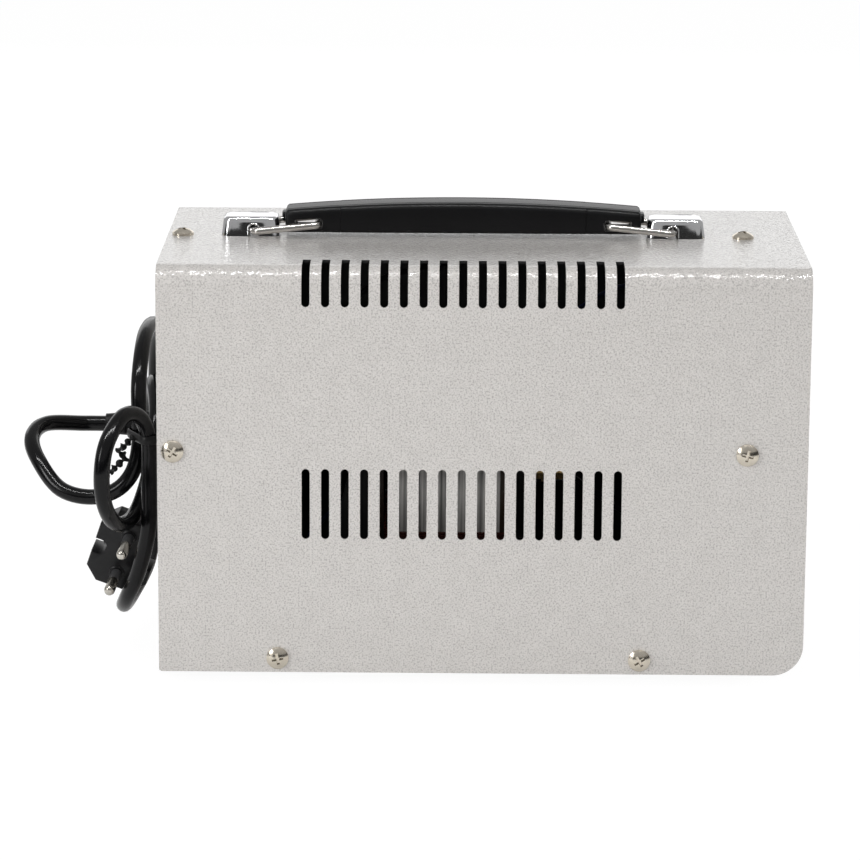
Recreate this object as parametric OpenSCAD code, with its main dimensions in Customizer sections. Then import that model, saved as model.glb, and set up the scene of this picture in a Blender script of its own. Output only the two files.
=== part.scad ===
// Bench variac: a variable autotransformer in a sheet-steel case.
// +X is the front panel with the knob, -X is the back panel with the mains lead, +Z is up.
// The origin is under the middle of the case, on the surface that the feet stand on.

/* [Case] */
// Length of the cover, from the back edge to the front lip
case_l = 280; // [250:1:340]
// Width of the cover, outside
case_w = 156; // [150:1:200]
// Height of the cover, from its lower edge to its top face
case_h = 179; // [172:1:220]
// Thickness of every steel sheet of the case
sheet = 1.2; // [0.8:0.1:2]
// Outer radius of the cover's two top bends
bend_r = 9; // [5:0.5:14]
// How far the cover reaches past the front panel
lip = 19.5; // [18.5:0.5:30]
// Radius of the cover's lower front corners
front_corner_r = 13.5; // [4:0.5:18]
// Radius of the cover's lower back corners
back_corner_r = 1.5; // [0.5:0.5:6]
// Width of the flanges that carry the case screws
flange_w = 14; // [12:0.5:20]
// Gap between the cover and what it slides over
seat_gap = 0.2; // [0.1:0.05:0.4]

/* [Vents] */
// Slots in each row
vent_count = 17; // [9:1:19]
// Distance between two slots
vent_pitch = 8.4; // [7:0.1:10]
// Width of a slot
vent_w = 3.5; // [2:0.1:5]
// Height of the lower row's bottom above the cover's edge
low_vent_z = 60; // [45:1:75]
// Height of the lower slots
low_vent_h = 31; // [20:1:45]
// How far the upper slots reach down from the top face
top_vent_h = 17; // [15:0.5:30]
// How far the upper slots reach in over the bend
top_vent_in = 19; // [12:0.5:24]

/* [Screws] */
// Thread of the case screws
screw_d = 5; // [4:0.5:5]
// Length of the case screws under the head
screw_len = 9; // [7:0.5:12]
// Head of the case screws
screw_head_d = 9.6; // [8:0.1:10]
// Height of the screw heads
screw_head_h = 3; // [2:0.1:4]
// Clearance of a screw in a plain hole, on the diameter
screw_clear = 0.6; // [0.3:0.1:1]
// Distance of the panel screws from the panel's face
screw_inset = 6.7; // [6:0.1:8]
// Height of the side screws above the cover's edge
side_screw_z = 98.5; // [80:0.5:110]
// Height of the lower screws above the cover's edge
base_screw_z = 6.5; // [6.2:0.1:8]
// Distance between the two lower screws of a side
base_screw_span = 157.2; // [120:0.1:180]
// How much nearer the front panel's face the front top screw sits
top_screw_dx = 1.6; // [-1:0.1:2]

/* [Feet] */
// Height of the rubber feet
foot_h = 6; // [4:0.5:12]
// Width of a foot at the base plate
foot_d = 20; // [16:0.5:26]
// Distance from a foot's middle to the case's side
foot_in = 38; // [30:1:45]

/* [Handle] */
// How far each bail pivot stands in from the end of the cover
pivot_in = 47; // [45:0.5:52]
// Shift of the handle and the vents from the middle of the chassis
top_dx = 0.9; // [-2:0.1:2]
// Shift of the handle towards +Y from the middle of the top
handle_y = 5; // [0:0.5:6]
// Length of a handle bracket
bracket_l = 26.4; // [24:0.2:27]
// Shift of a bracket's middle outwards from its bail pivot
bracket_dx = 1.2; // [0.6:0.1:2]
// Width of a handle bracket
bracket_w = 18; // [16:0.5:18.5]
// Height of a handle bracket
bracket_h = 8.5; // [8:0.5:11]
// Thickness of the bracket's sheet
bracket_t = 1.2; // [1:0.1:1.6]
// Width of the arch that a bail comes out of
arch_w = 5; // [4.4:0.1:6]
// Wire thickness of the bails
wire_d = 3.2; // [2.6:0.1:3.4]
// Height of the bail pivot above the top face
pivot_z = 2.7; // [2.2:0.1:3]
// Length of a bail, between the middles of its two cross bars
bail_l = 29; // [27:0.5:30]
// Distance between the legs of a bail
bail_w = 24.4; // [24:0.1:27]
// Slope of a bail when the handle lies down
bail_rest_deg = 6; // [4:0.5:8]
// Turn of a bail when the handle is lifted
bail_turn_deg = 37; // [30:1:38]
// Lift of the grip
grip_lift = 17.2; // [14:0.1:18]
// Gap between each end of the grip and the bail pivot beside it
grip_end_gap = 14.2; // [14:0.1:16]
// Length of the stub at each end of the grip
stub_l = 1.6; // [1:0.1:1.8]
// Width of the grip
grip_w = 20; // [16:0.5:20]
// Height of the grip at its ends
grip_end_h = 10.2; // [10:0.1:12]
// How much higher the grip is in the middle
grip_rise = 3.5; // [1:0.1:6]
// Gap under the lowered grip
grip_gap = 1.7; // [0.8:0.1:2]
// Length of the slot that a bail slides in
slot_l = 12.4; // [12:0.1:14]
// Height of that slot
slot_h = 4.8; // [4.8:0.1:5.4]

/* [Transformer] */
// Height of the shaft above the surface that the feet stand on
axis_z = 86; // [84:0.5:92]
// Place of the core's middle, along the case
core_x = -14; // [-20:0.5:-8]
// Outer diameter of the core
core_d = 112; // [104:1:116]
// Bore of the core
core_bore = 60; // [56:1:64]
// Length of the core, along the shaft
core_l = 44; // [38:1:50]
// Thickness of the insulating ring at each end of the core
insul_t = 2; // [1:0.1:3]
// Build of the winding on the outside
wind_out = 3; // [2:0.1:3.4]
// Build of the winding in the bore
wind_in = 4; // [3:0.1:5]
// Build of the winding on the two ends
wind_end = 5; // [4:0.1:6]
// Sector of the core that stays bare
gap_deg = 46; // [34:1:46]
// Turn of the knob from end to end
knob_turn = 310; // [280:1:310]
// Diameter of the shaft
shaft_d = 8; // [6:0.5:8]
// Running clearance of the shaft in its bushes, on the diameter
shaft_fit = 0.1; // [0.04:0.02:0.2]
// Outer diameter of the bushes
bush_d = 14; // [12:0.5:15]
// Thickness of the brackets that carry the transformer
plate_t = 2; // [1.5:0.1:3]
// Radius at which the brush runs
track_r = 47; // [46:0.5:48]

/* [Front panel] */
// Diameter of the dial plate
dial_d = 80; // [70:1:82]
// Diameter of the knob's grip
knob_d = 46; // [36:1:50]
// Diameter of the knob's skirt
knob_skirt_d = 56; // [52:1:60]
// Height of the knob
knob_h = 15.5; // [12:0.5:16]
// Width of the meter's frame
meter_w = 70; // [64:1:70]
// Height of the meter's frame
meter_h = 50; // [46:1:52]
// Depth of the meter's frame in front of the panel
meter_t = 11; // [10:0.5:14]
// Diameter of the meter's barrel behind the panel
barrel_d = 45; // [38:1:45]
// Turn of the meter's needle
needle_turn = 88; // [80:1:90]
// Height of the middle of the meter and the outlet above the standing surface
upper_z = 155; // [154:0.5:156]
// Diameter of the outlet's flange
outlet_d = 47; // [46:0.5:48]
// Diameter of the outlet's recess
recess_d = 39.4; // [38.5:0.1:40]
// Depth of the outlet's recess
recess_h = 17.5; // [16:0.5:18]
// Distance between the outlet's two contacts
pin_span = 19; // [18.6:0.1:19.4]
// Width of the switch's frame
switch_w = 25; // [22:0.5:28]
// Height of the switch's frame
switch_h = 31; // [28:0.5:32]
// Turn of the rocker from off to on
rocker_turn = 20; // [14:1:24]
// Diameter of the fuse holder's frame
fuse_d = 17; // [15:0.5:20]
// How far the fuse comes out
fuse_out = 32; // [10:1:40]

/* [Hidden] */
$fn = 64;
eps = 0.5;

// Places that everything else is measured from
x_back = -case_l / 2;
x_front = case_l / 2 - lip;
x_mid = (x_back + x_front) / 2;
top_z = foot_h + case_h;
base_top = foot_h + sheet;
ceiling_z = top_z - sheet;
inner_w = case_w - 2 * sheet - 2 * seat_gap;
panel_xs = [x_back + screw_inset, x_front - screw_inset];
top_xs = [panel_xs[0], panel_xs[1] + top_screw_dx];
base_xs = [x_mid - base_screw_span / 2, x_mid + base_screw_span / 2];

// A solid rod or a ring about a line along X
module rod(d, x0, x1) {
    translate([x0, 0, 0]) rotate([0, 90, 0]) cylinder(d = d, h = x1 - x0);
}

module ring(d, bore, x0, x1) {
    difference() {
        rod(d, x0, x1);
        rod(bore, x0 - eps, x1 + eps);
    }
}

// What follows lies about the shaft, or about a line along X at y and z
module on_shaft() translate([0, 0, axis_z]) children();

module at_yz(y, z) translate([0, y, z]) children();

// A block that is centred on y, between two x and two z
module block(x0, x1, w, z0, z1) {
    translate([x0, -w / 2, z0]) cube([x1 - x0, w, z1 - z0]);
}

module rounded(w, h, r) {
    square([w - 2 * r, h], center = true);
    square([w, h - 2 * r], center = true);
    for (x = [-1, 1], y = [-1, 1]) translate([x * (w / 2 - r), y * (h / 2 - r)]) circle(r);
}

// An outline in Y and Z, pushed along X
module push_x(x0, x1) {
    translate([x0, 0, 0]) rotate([90, 0, 90]) linear_extrude(x1 - x0) children();
}

// A pan head screw that points along -Z, its head's seat at z = 0
head_ball = 7;
module pan_screw(d, head_d, head_h, length) {
    drive_w = head_d * 0.13;
    drive_l = head_d * 0.52;
    difference() {
        union() {
            translate([0, 0, -length]) cylinder(d = d, h = length);
            intersection() {
                cylinder(d = head_d, h = head_h);
                translate([0, 0, head_h - head_ball]) sphere(head_ball);
            }
        }
        for (turn = [0, 90]) rotate(turn) translate([-drive_l / 2, -drive_w / 2, head_h * 0.4])
            cube([drive_l, drive_w, head_h]);
    }
}

// The same screw, pointing into a wall: side is the way that its head looks along Y
module side_screw(x, side, z) {
    translate([x, side * case_w / 2, z]) rotate([-90 * side, 0, 0])
        rotate(x * 7) pan_screw(screw_d, screw_head_d, screw_head_h, screw_len);
}

module side_bore(x, z, d) {
    translate([x, 0, z]) rotate([90, 0, 0]) cylinder(d = d, h = case_w + 2, center = true);
}

// ---- Case ----
module cover_outline(w, h, r) {
    translate([-w / 2, 0]) square([w, h - r]);
    translate([-w / 2 + r, 0]) square([w - 2 * r, h]);
    for (side = [-1, 1]) translate([side * (w / 2 - r), h - r]) circle(r);
}

vent_xs = [for (i = [0:vent_count - 1]) x_mid + top_dx + (i - (vent_count - 1) / 2) * vent_pitch];

// A slot cut with round ends, standing up, through a wall that is normal to Y
module slot_cut(x, y, z0, z1, depth) {
    translate([x, y, 0]) rotate([90, 0, 0]) {
        for (z = [z0 + vent_w / 2, z1 - vent_w / 2])
            translate([0, z, 0]) cylinder(d = vent_w, h = depth, center = true, $fn = 32);
        translate([-vent_w / 2, z0 + vent_w / 2, -depth / 2]) cube([vent_w, z1 - z0 - vent_w, depth]);
    }
}

module corner_cut(end, r) {
    difference() {
        translate([end > 0 ? case_l / 2 - r : x_back - 1, -case_w / 2 - 1, foot_h - 1])
            cube([r + 1, case_w + 2, r + 1]);
        translate([end * (case_l / 2 - r), 0, foot_h + r]) rotate([90, 0, 0])
            cylinder(r = r, h = case_w + 4, center = true);
    }
}

module cover() {
    color("gainsboro") difference() {
        translate([0, 0, foot_h]) push_x(x_back, case_l / 2) difference() {
            cover_outline(case_w, case_h, bend_r);
            translate([0, -1]) cover_outline(case_w - 2 * sheet, case_h - sheet + 1, bend_r - sheet);
        }
        corner_cut(1, front_corner_r);
        corner_cut(-1, back_corner_r);
        for (x = vent_xs) {
            slot_cut(x, 0, foot_h + low_vent_z, foot_h + low_vent_z + low_vent_h, case_w + 2);
            for (side = [-1, 1])
                slot_cut(x, side * (case_w / 2 - top_vent_in / 2 + 1), top_z - top_vent_h,
                    top_z + vent_w, top_vent_in + 2);
        }
        for (x = panel_xs) side_bore(x, foot_h + side_screw_z, screw_d + screw_clear);
        for (x = top_xs) translate([x, 0, ceiling_z - 1])
            cylinder(d = screw_d + screw_clear, h = sheet + 2);
        for (x = base_xs) side_bore(x, foot_h + base_screw_z, screw_d + screw_clear);
        for (x = handle_screw_xs) translate([x, handle_y, ceiling_z - 1])
            cylinder(d = handle_screw_d + screw_clear, h = sheet + 2);
    }
}

tap_clear = 0.1;
base_flange_h = flange_w;
panel_gap = 0.4;
panel_screw_d = 4;
panel_screw_y = 52;
panel_flange_y = 60;
foot_xs = [x_back + 30, x_front - 30];
foot_y = case_w / 2 - foot_in;
foot_screw_d = 4;
bracket_screw_d = 5;

module base_plate() {
    color("silver") difference() {
        union() {
            block(x_back, x_front, inner_w, foot_h, base_top);
            for (side = [-1, 1]) translate([0, side * (inner_w - sheet) / 2, 0])
                block(x_back + sheet + panel_gap, x_front - sheet - panel_gap, sheet, foot_h,
                    foot_h + base_flange_h);
        }
        for (x = base_xs) side_bore(x, foot_h + base_screw_z, screw_d + tap_clear);
        for (x = foot_xs, y = [-foot_y, foot_y]) translate([x, y, 0])
            cylinder(d = foot_screw_d + screw_clear, h = base_top + 1);
        for (x = panel_xs, y = [-panel_screw_y, panel_screw_y]) translate([x, y, 0])
            cylinder(d = panel_screw_d + screw_clear, h = base_top + 1);
        for (y = bracket_screw_ys) translate([bracket_screw_x, y, 0])
            cylinder(d = bracket_screw_d + tap_clear, h = base_top + 1);
        // rows of air slots under the transformer
        for (i = [-4:4], y = [-28, 28]) translate([core_x + i * 9, y, 0])
            slot_hole(3.5, 26, base_top + 1);
    }
}

// An upright slot hole with round ends, long in Y
module slot_hole(w, l, h) {
    linear_extrude(h) {
        square([w, l - w], center = true);
        for (side = [-1, 1]) translate([0, side * (l - w) / 2]) circle(d = w, $fn = 32);
    }
}

// A steel end panel: a flat sheet with a flange to the top, to each side and to the base.
// face is the outer face, and inward is the way that the flanges point along X
module end_panel(face, inward, top_x) {
    x0 = min(face, face + inward * sheet);
    f0 = min(face, face + inward * flange_w);
    flat_w = inner_w - 2 * bend_r;
    side_z0 = foot_h + base_flange_h + 1;
    side_z1 = top_z - bend_r - 2;
    difference() {
        union() {
            translate([0, 0, base_top]) push_x(x0, x0 + sheet)
                cover_outline(inner_w, ceiling_z - seat_gap - base_top, bend_r - sheet);
            block(f0, f0 + flange_w, flat_w, ceiling_z - seat_gap - sheet, ceiling_z - seat_gap);
            block(f0, f0 + flange_w, 2 * panel_flange_y, base_top, base_top + sheet);
            for (side = [-1, 1]) translate([0, side * (inner_w - sheet) / 2, 0])
                block(f0, f0 + flange_w, sheet, side_z0, side_z1);
        }
        x_screw = face + inward * screw_inset;
        side_bore(x_screw, foot_h + side_screw_z, screw_d + tap_clear);
        translate([top_x, 0, ceiling_z - sheet - 2]) cylinder(d = screw_d + tap_clear, h = 6);
        for (y = [-panel_screw_y, panel_screw_y]) translate([x_screw, y, base_top - 1])
            cylinder(d = panel_screw_d + tap_clear, h = sheet + 2);
        children();
    }
}

module front_panel() {
    color("whitesmoke") end_panel(x_front, -1, top_xs[1]) {
        on_shaft() rod(panel_bush_d + 2 * small_fit, x_front - 5, x_front + 5);
        at_yz(meter_y, upper_z) rod(barrel_d + 2 * small_fit, x_front - 5, x_front + 5);
        for (y = meter_stud_ys) at_yz(meter_y + y, upper_z + meter_stud_z)
            rod(meter_stud_d + 2 * small_fit, x_front - 5, x_front + 5);
        at_yz(switch_y, lower_z) push_x(x_front - 5, x_front + 5)
            square([switch_in_w + 2 * small_fit, switch_in_h + 2 * small_fit], center = true);
        at_yz(fuse_y, lower_z) rod(fuse_body_d + 2 * small_fit, x_front - 5, x_front + 5);
        at_yz(outlet_y, upper_z) rod(outlet_barrel_d + 2 * small_fit, x_front - 5, x_front + 5);
    }
}

module back_panel() {
    color("whitesmoke") end_panel(x_back, 1, top_xs[0]) {
        at_yz(lead_y, lead_z) rod(relief_neck_d + 2 * small_fit, x_back - 5, x_back + 5);
    }
}

module cover_screws() {
    color("silver") {
        for (side = [-1, 1]) {
            for (x = panel_xs) side_screw(x, side, foot_h + side_screw_z);
            for (x = base_xs) side_screw(x, side, foot_h + base_screw_z);
        }
        for (x = top_xs) translate([x, 0, top_z]) rotate(25)
            pan_screw(screw_d, screw_head_d, screw_head_h, screw_len);
    }
}

module panel_screws() {
    color("silver") for (x = panel_xs, y = [-panel_screw_y, panel_screw_y])
        translate([x, y, foot_h]) rotate([180, 0, 0]) pan_screw(panel_screw_d, 7.6, 2.4, 8);
}

module feet() {
    color("dimgray") for (x = foot_xs, y = [-foot_y, foot_y]) translate([x, y, 0]) difference() {
        union() {
            cylinder(d1 = foot_d - 2, d2 = foot_d, h = foot_h - 1);
            translate([0, 0, foot_h - 1]) cylinder(d = foot_d, h = 1);
        }
        translate([0, 0, -1]) cylinder(d = foot_screw_d + screw_clear, h = foot_h + 2);
        translate([0, 0, -1]) cylinder(d = 9, h = foot_h - 1);
    }
}

module foot_screws() {
    color("silver") for (x = foot_xs, y = [-foot_y, foot_y]) translate([x, y, 0]) {
        translate([0, 0, foot_h - 2]) rotate([180, 0, 0]) pan_screw(foot_screw_d, 7.6, 2.4, 9);
        translate([0, 0, base_top]) difference() {
            cylinder(d = 8, h = 3.2, $fn = 6);
            translate([0, 0, -1]) cylinder(d = foot_screw_d + tap_clear, h = 6);
        }
    }
}

// ---- Handle ----
handle_x = x_mid + top_dx;
pivot_span = case_l - 2 * pivot_in;
pivot_dx = pivot_span / 2;
grip_l = pivot_span - 2 * grip_end_gap;
bracket_xs = [handle_x - pivot_dx - bracket_dx, handle_x + pivot_dx + bracket_dx];
handle_screw_d = 4;
boss_d = 7;
boss_dx = bracket_l / 2 - bracket_t - boss_d / 2 + 0.6;
handle_screw_xs = [for (x = bracket_xs) for (side = [-1, 1]) x + side * boss_dx];
bracket_r = 4;
rest_x = bail_l * cos(bail_rest_deg);
rest_z = bail_l * sin(bail_rest_deg);
wire_bend = 3;
slot_play = 0.3;

module handle_bracket(outward) {
    difference() {
        union() {
            difference() {
                linear_extrude(bracket_h) rounded(bracket_l, bracket_w, bracket_r);
                translate([0, 0, -1]) linear_extrude(bracket_h - bracket_t + 1)
                    rounded(bracket_l - 2 * bracket_t, bracket_w - 2 * bracket_t,
                        bracket_r - bracket_t);
            }
            for (side = [-1, 1]) translate([side * boss_dx, 0, 0])
                cylinder(d = boss_d, h = bracket_h - bracket_t / 2);
        }
        for (side = [-1, 1]) translate([side * boss_dx, 0, -1])
            cylinder(d = handle_screw_d + tap_clear, h = bracket_h - bracket_t);
        // the arches that the bail's pivot bar passes through
        translate([-outward * bracket_dx, 0, 0]) {
            translate([-arch_w / 2, -bracket_w, -1]) cube([arch_w, 2 * bracket_w, pivot_z + 1.4]);
            translate([0, 0, pivot_z + 0.4]) rotate([90, 0, 0])
                cylinder(d = arch_w, h = 2 * bracket_w, center = true);
        }
    }
}

module handle_brackets() {
    color("lightgray") for (i = [0, 1]) translate([bracket_xs[i], handle_y, top_z])
        handle_bracket(2 * i - 1);
}

module handle_screws() {
    color("silver") for (x = handle_screw_xs) translate([x, handle_y, ceiling_z]) rotate([180, 0, 0])
        pan_screw(handle_screw_d, 7.6, 2.4, 5.5);
}

// A closed wire loop in X and Y, its pivot bar on the line x = 0
module bail() {
    leg = bail_l - 2 * wire_bend;
    bar = bail_w - 2 * wire_bend;
    for (side = [-1, 1]) translate([wire_bend, side * bail_w / 2, 0]) rotate([0, 90, 0])
        cylinder(d = wire_d, h = leg);
    for (x = [0, bail_l]) translate([x, bar / 2, 0]) rotate([90, 0, 0]) cylinder(d = wire_d, h = bar);
    for (quarter = [0:3]) {
        near = quarter == 1 || quarter == 2;
        translate([near ? wire_bend : bail_l - wire_bend, (quarter < 2 ? 1 : -1) * bar / 2, 0])
            rotate(quarter * 90) rotate_extrude(angle = 90) translate([wire_bend, 0])
                circle(d = wire_d, $fn = 32);
    }
}

module bail_back() {
    color("silver") translate([handle_x - pivot_dx, handle_y, top_z + pivot_z])
        rotate([0, -bail_rest_deg, 0]) bail();
}

module bail_front() {
    color("silver") translate([handle_x + pivot_dx, handle_y, top_z + pivot_z])
        rotate([0, bail_rest_deg, 0]) mirror([1, 0, 0]) bail();
}

grip_z = top_z + grip_gap;
grip_arc_r = (grip_l * grip_l / 4 + grip_rise * grip_rise) / (2 * grip_rise);
grip_top_z = grip_z + grip_end_h + grip_rise;
grip_edge_r = 2.5;
stub_w = 9;
stub_z = 4.3;
stub_h = 4.2;

module grip() {
    sweep = 2 * asin(grip_l / 2 / grip_arc_r) + 3;
    cross_x = pivot_dx - rest_x;
    slot_in = cross_x - slot_play - wire_d / 2;
    color("#222222") translate([handle_x, handle_y, 0]) difference() {
        union() {
            intersection() {
                translate([0, 0, grip_top_z - grip_arc_r]) rotate([90, 0, 0])
                    rotate(90 - sweep / 2) rotate_extrude(angle = sweep, $fn = 720)
                        translate([grip_arc_r - grip_w / 2, 0]) rounded(grip_w, grip_w, grip_edge_r);
                block(-grip_l / 2, grip_l / 2, grip_w + 2, grip_z, grip_top_z + 1);
            }
            block(-grip_l / 2 - stub_l, grip_l / 2 + stub_l, stub_w, grip_z + stub_z,
                grip_z + stub_z + stub_h);
        }
        for (side = [-1, 1]) {
            slot_mid = side * (slot_in + slot_l / 2);
            translate([slot_mid, 0, top_z + pivot_z + rest_z])
                cube([slot_l, grip_w + 2, slot_h], center = true);
        }
    }
}

// ---- Transformer ----
wind_x0 = core_x - core_l / 2 - insul_t - wind_end;
wind_x1 = core_x + core_l / 2 + insul_t + wind_end;
core_play = 0.1;
seat_t = 6;
plate_x = wind_x0 - seat_t;
plate_w = 92;
plate_foot = 26;
plate_top_z = axis_z + 44;
bracket_screw_x = plate_x - plate_foot / 2 - 2;
bracket_screw_ys = [-34, 0, 34];
disc_t = 6;
disc_d = 76;
disc_x = wind_x1 + disc_t;
hub_d = 25;
hub_x = disc_x + 6;
bolt_r = 20;
bolt_d = 5;
bolt_angles = [0, 120, 240];
small_fit = 0.1;
panel_bush_d = 11;
gap_angle = 180;

module core() {
    color("gray") on_shaft() ring(core_d, core_bore, core_x - core_l / 2, core_x + core_l / 2);
}

module core_insulators() {
    color("burlywood") on_shaft() for (end = [-1, 1]) {
        x = core_x + end * core_l / 2;
        ring(core_d, core_bore, min(x, x + end * insul_t), max(x, x + end * insul_t));
    }
}

module winding() {
    in_r = core_bore / 2 - wind_in;
    out_r = core_d / 2 + wind_out;
    wide = wind_x1 - wind_x0;
    hollow_l = core_l + 2 * insul_t;
    color("sienna") on_shaft() translate([core_x, 0, 0]) rotate([90, 0, 90])
        rotate(gap_angle + gap_deg / 2) rotate_extrude(angle = 360 - gap_deg, $fn = 128)
            difference() {
                translate([(in_r + out_r) / 2, 0]) rounded(out_r - in_r, wide, 4);
                translate([core_bore / 2 - core_play, -hollow_l / 2 - core_play])
                    square([(core_d - core_bore) / 2 + 2 * core_play, hollow_l + 2 * core_play]);
            }
}

module rear_seat() {
    color("saddlebrown") on_shaft() difference() {
        ring(core_d - 12, core_bore + 8, plate_x, wind_x0);
        for (turn = [0:3]) rotate([turn * 45 + 22, 0, 0]) block(plate_x - 1, plate_x + 2, core_d + 28, -2, 2);
    }
}

module transformer_bracket() {
    flat_h = plate_top_z - 30 - base_top;
    color("darkgray") difference() {
        union() {
            translate([0, 0, base_top]) push_x(plate_x - plate_t, plate_x)
                cover_outline(plate_w, plate_top_z - base_top, 30);
            block(plate_x - plate_foot, plate_x, plate_w, base_top, base_top + plate_t);
            for (side = [-1, 1]) translate([0, side * (plate_w - plate_t) / 2 + plate_t / 2, 0])
                rotate([90, 0, 0]) linear_extrude(plate_t) polygon([
                    [plate_x, base_top], [plate_x - plate_foot, base_top],
                    [plate_x - plate_foot, base_top + 8], [plate_x - 8, base_top + flat_h - 6],
                    [plate_x, base_top + flat_h - 6]]);
        }
        on_shaft() {
            rod(bush_d + 2 * small_fit, plate_x - 10, plate_x + 10);
            for (turn = bolt_angles) rotate([turn, 0, 0]) translate([0, bolt_r, 0])
                rod(bolt_d + screw_clear, plate_x - 10, plate_x + 10);
            at_yz(wire_hole[0], wire_hole[1] + 1) rod(9, plate_x - 10, plate_x + 10);
        }
        for (y = bracket_screw_ys) translate([bracket_screw_x, y, base_top - 1])
            cylinder(d = bracket_screw_d + screw_clear, h = plate_t + 2);
    }
}

module bracket_screws() {
    color("silver") for (y = bracket_screw_ys) translate([bracket_screw_x, y, base_top + plate_t])
        pan_screw(bracket_screw_d, screw_head_d, screw_head_h, 5);
}

module clamp_disc() {
    color("peru") on_shaft() difference() {
        union() {
            rod(disc_d, wind_x1, disc_x);
            rod(hub_d, disc_x - 1, hub_x);
        }
        rod(bush_d + 2 * small_fit, wind_x1 - 1, hub_x + 1);
        for (turn = bolt_angles) rotate([turn, 0, 0]) translate([0, bolt_r, 0])
            rod(bolt_d + screw_clear, wind_x1 - 1, disc_x + 1);
        at_yz(wire_hole[0], wire_hole[1]) rod(4, wind_x1 - 1, disc_x + 1);
    }
}

module clamp_bolts() {
    color("silver") on_shaft() for (turn = bolt_angles) rotate([turn, 0, 0])
        translate([0, bolt_r, 0]) {
            rod(bolt_d, plate_x - plate_t - 5, disc_x);
            for (x = [disc_x, plate_x - plate_t - 4]) translate([x, 0, 0]) rotate([0, 90, 0])
                cylinder(d = 8, h = x > 0 ? 3.5 : 4, $fn = 6);
        }
}

bush_bore = shaft_d + shaft_fit;
bush_flange_d = bush_d + 5;
rear_bush_x = plate_x - plate_t;

module shaft_bushes() {
    color("goldenrod") on_shaft() {
        ring(bush_d, bush_bore, rear_bush_x - 2, plate_x + 4);
        ring(bush_flange_d, bush_bore, rear_bush_x - 2, rear_bush_x);
        ring(bush_d, bush_bore, wind_x1, hub_x);
    }
}

module panel_bush() {
    color("goldenrod") on_shaft() {
        ring(panel_bush_d, bush_bore, x_front - sheet - 6, x_front + dial_t);
        ring(panel_bush_d + 6, bush_bore, x_front - sheet - 3, x_front - sheet);
    }
}

collector_t = 1.5;
module collector_ring() {
    color("goldenrod") on_shaft() difference() {
        union() {
            rod(hub_d, hub_x, hub_x + collector_t);
            rotate([60, 0, 0]) block(hub_x, hub_x + collector_t, 5, 0, hub_d / 2 + 9);
        }
        rod(bush_d + 1, hub_x - 1, hub_x + collector_t + 1);
    }
}

arm_w = 16;
stop_r = 30;
stop_d = 2 * (stop_r * sin((360 - knob_turn) / 2) - arm_w / 2 - 0.2);
washer_x = hub_x + collector_t + 0.3;
washer_t = 1.6;
arm_hub_x = washer_x + washer_t;
arm_hub_l = 12;
arm_x = arm_hub_x + 2;
arm_t = 3;
rest_angle = gap_angle - (360 - knob_turn) / 2;

module stop_post() {
    color("dimgray") on_shaft() rotate([gap_angle, 0, 0]) translate([0, stop_r, 0])
        rod(stop_d, disc_x, arm_x + arm_t + 1);
}

// What turns with the shaft: drawn along +Y, then turned to its place at rest
module on_rotor() on_shaft() rotate([rest_angle, 0, 0]) children();

knob_gap = 0.8;
dial_t = 1;
knob_x0 = x_front + dial_t + knob_gap;
knob_x1 = knob_x0 + knob_h;
shaft_end = knob_x1 - 3;

module shaft() {
    color("silver") on_shaft() rod(shaft_d, rear_bush_x - 12, shaft_end);
}

module shaft_collar() {
    color("dimgray") on_shaft() difference() {
        ring(bush_flange_d, shaft_d, rear_bush_x - 9.3, rear_bush_x - 2.3);
        translate([rear_bush_x - 6, 0, 0]) cylinder(d = 3, h = 20);
    }
}

holder_w = 11;
holder_t = 1;
brush_l = 8;
brush_gap = 0.3;
brush_x = wind_x1 + brush_gap;
holder_x = wind_x1 + 3;
holder_end = arm_x + arm_t + 6;

module brush_arm() {
    color("lightsteelblue") on_rotor() difference() {
        union() {
            rod(24, arm_hub_x, arm_hub_x + arm_hub_l);
            translate([arm_x, -18, -arm_w / 2]) cube([arm_t, track_r + 18 + 8, arm_w]);
            rotate([180, 0, 0]) translate([0, 10, 0]) rod(arm_w, arm_x, arm_x + arm_t);
        }
        rod(shaft_d, arm_hub_x - 1, arm_hub_x + arm_hub_l + 1);
        translate([arm_hub_x + arm_hub_l - 3.4, 0, 0]) rotate([-90, 0, 0]) cylinder(d = 3, h = 20);
        translate([arm_x - 1, track_r - holder_w / 2, -holder_w / 2])
            cube([arm_t + 2, holder_w, holder_w]);
    }
}

module brush_holder() {
    color("goldenrod") on_rotor() difference() {
        translate([holder_x, track_r - holder_w / 2, -holder_w / 2])
            cube([holder_end - holder_x, holder_w, holder_w]);
        translate([holder_x - 1, track_r - holder_w / 2 + holder_t, -holder_w / 2 + holder_t])
            cube([holder_end - holder_x, holder_w - 2 * holder_t, holder_w - 2 * holder_t]);
    }
}

module brush() {
    w = holder_w - 2 * holder_t - 0.2;
    color("#333333") on_rotor() translate([brush_x, track_r - w / 2, -w / 2]) cube([brush_l, w, w]);
}

// A coil spring between the brush and the holder's end, as stacked turns
module brush_spring() {
    x0 = brush_x + brush_l + 0.4;
    turns = 5;
    steps = 12;
    pitch = (holder_end - 1.4 - x0) / turns;
    color("silver") on_rotor() translate([0, track_r, 0]) tube([
        for (k = [0:turns * steps])
            [x0 + k * pitch / steps, 3.1 * cos(k * 360 / steps), 3.1 * sin(k * 360 / steps)]
    ], 0.8, 1, 6);
}

module contact_washer() {
    color("silver") on_shaft() ring(hub_d - 3, shaft_d + 1, washer_x, washer_x + washer_t);
}

// ---- Knob and dial ----
skirt_h = 4;
knob_flutes = 16;
zero_angle = 90 - 180 - (360 - knob_turn) / 2;

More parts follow.
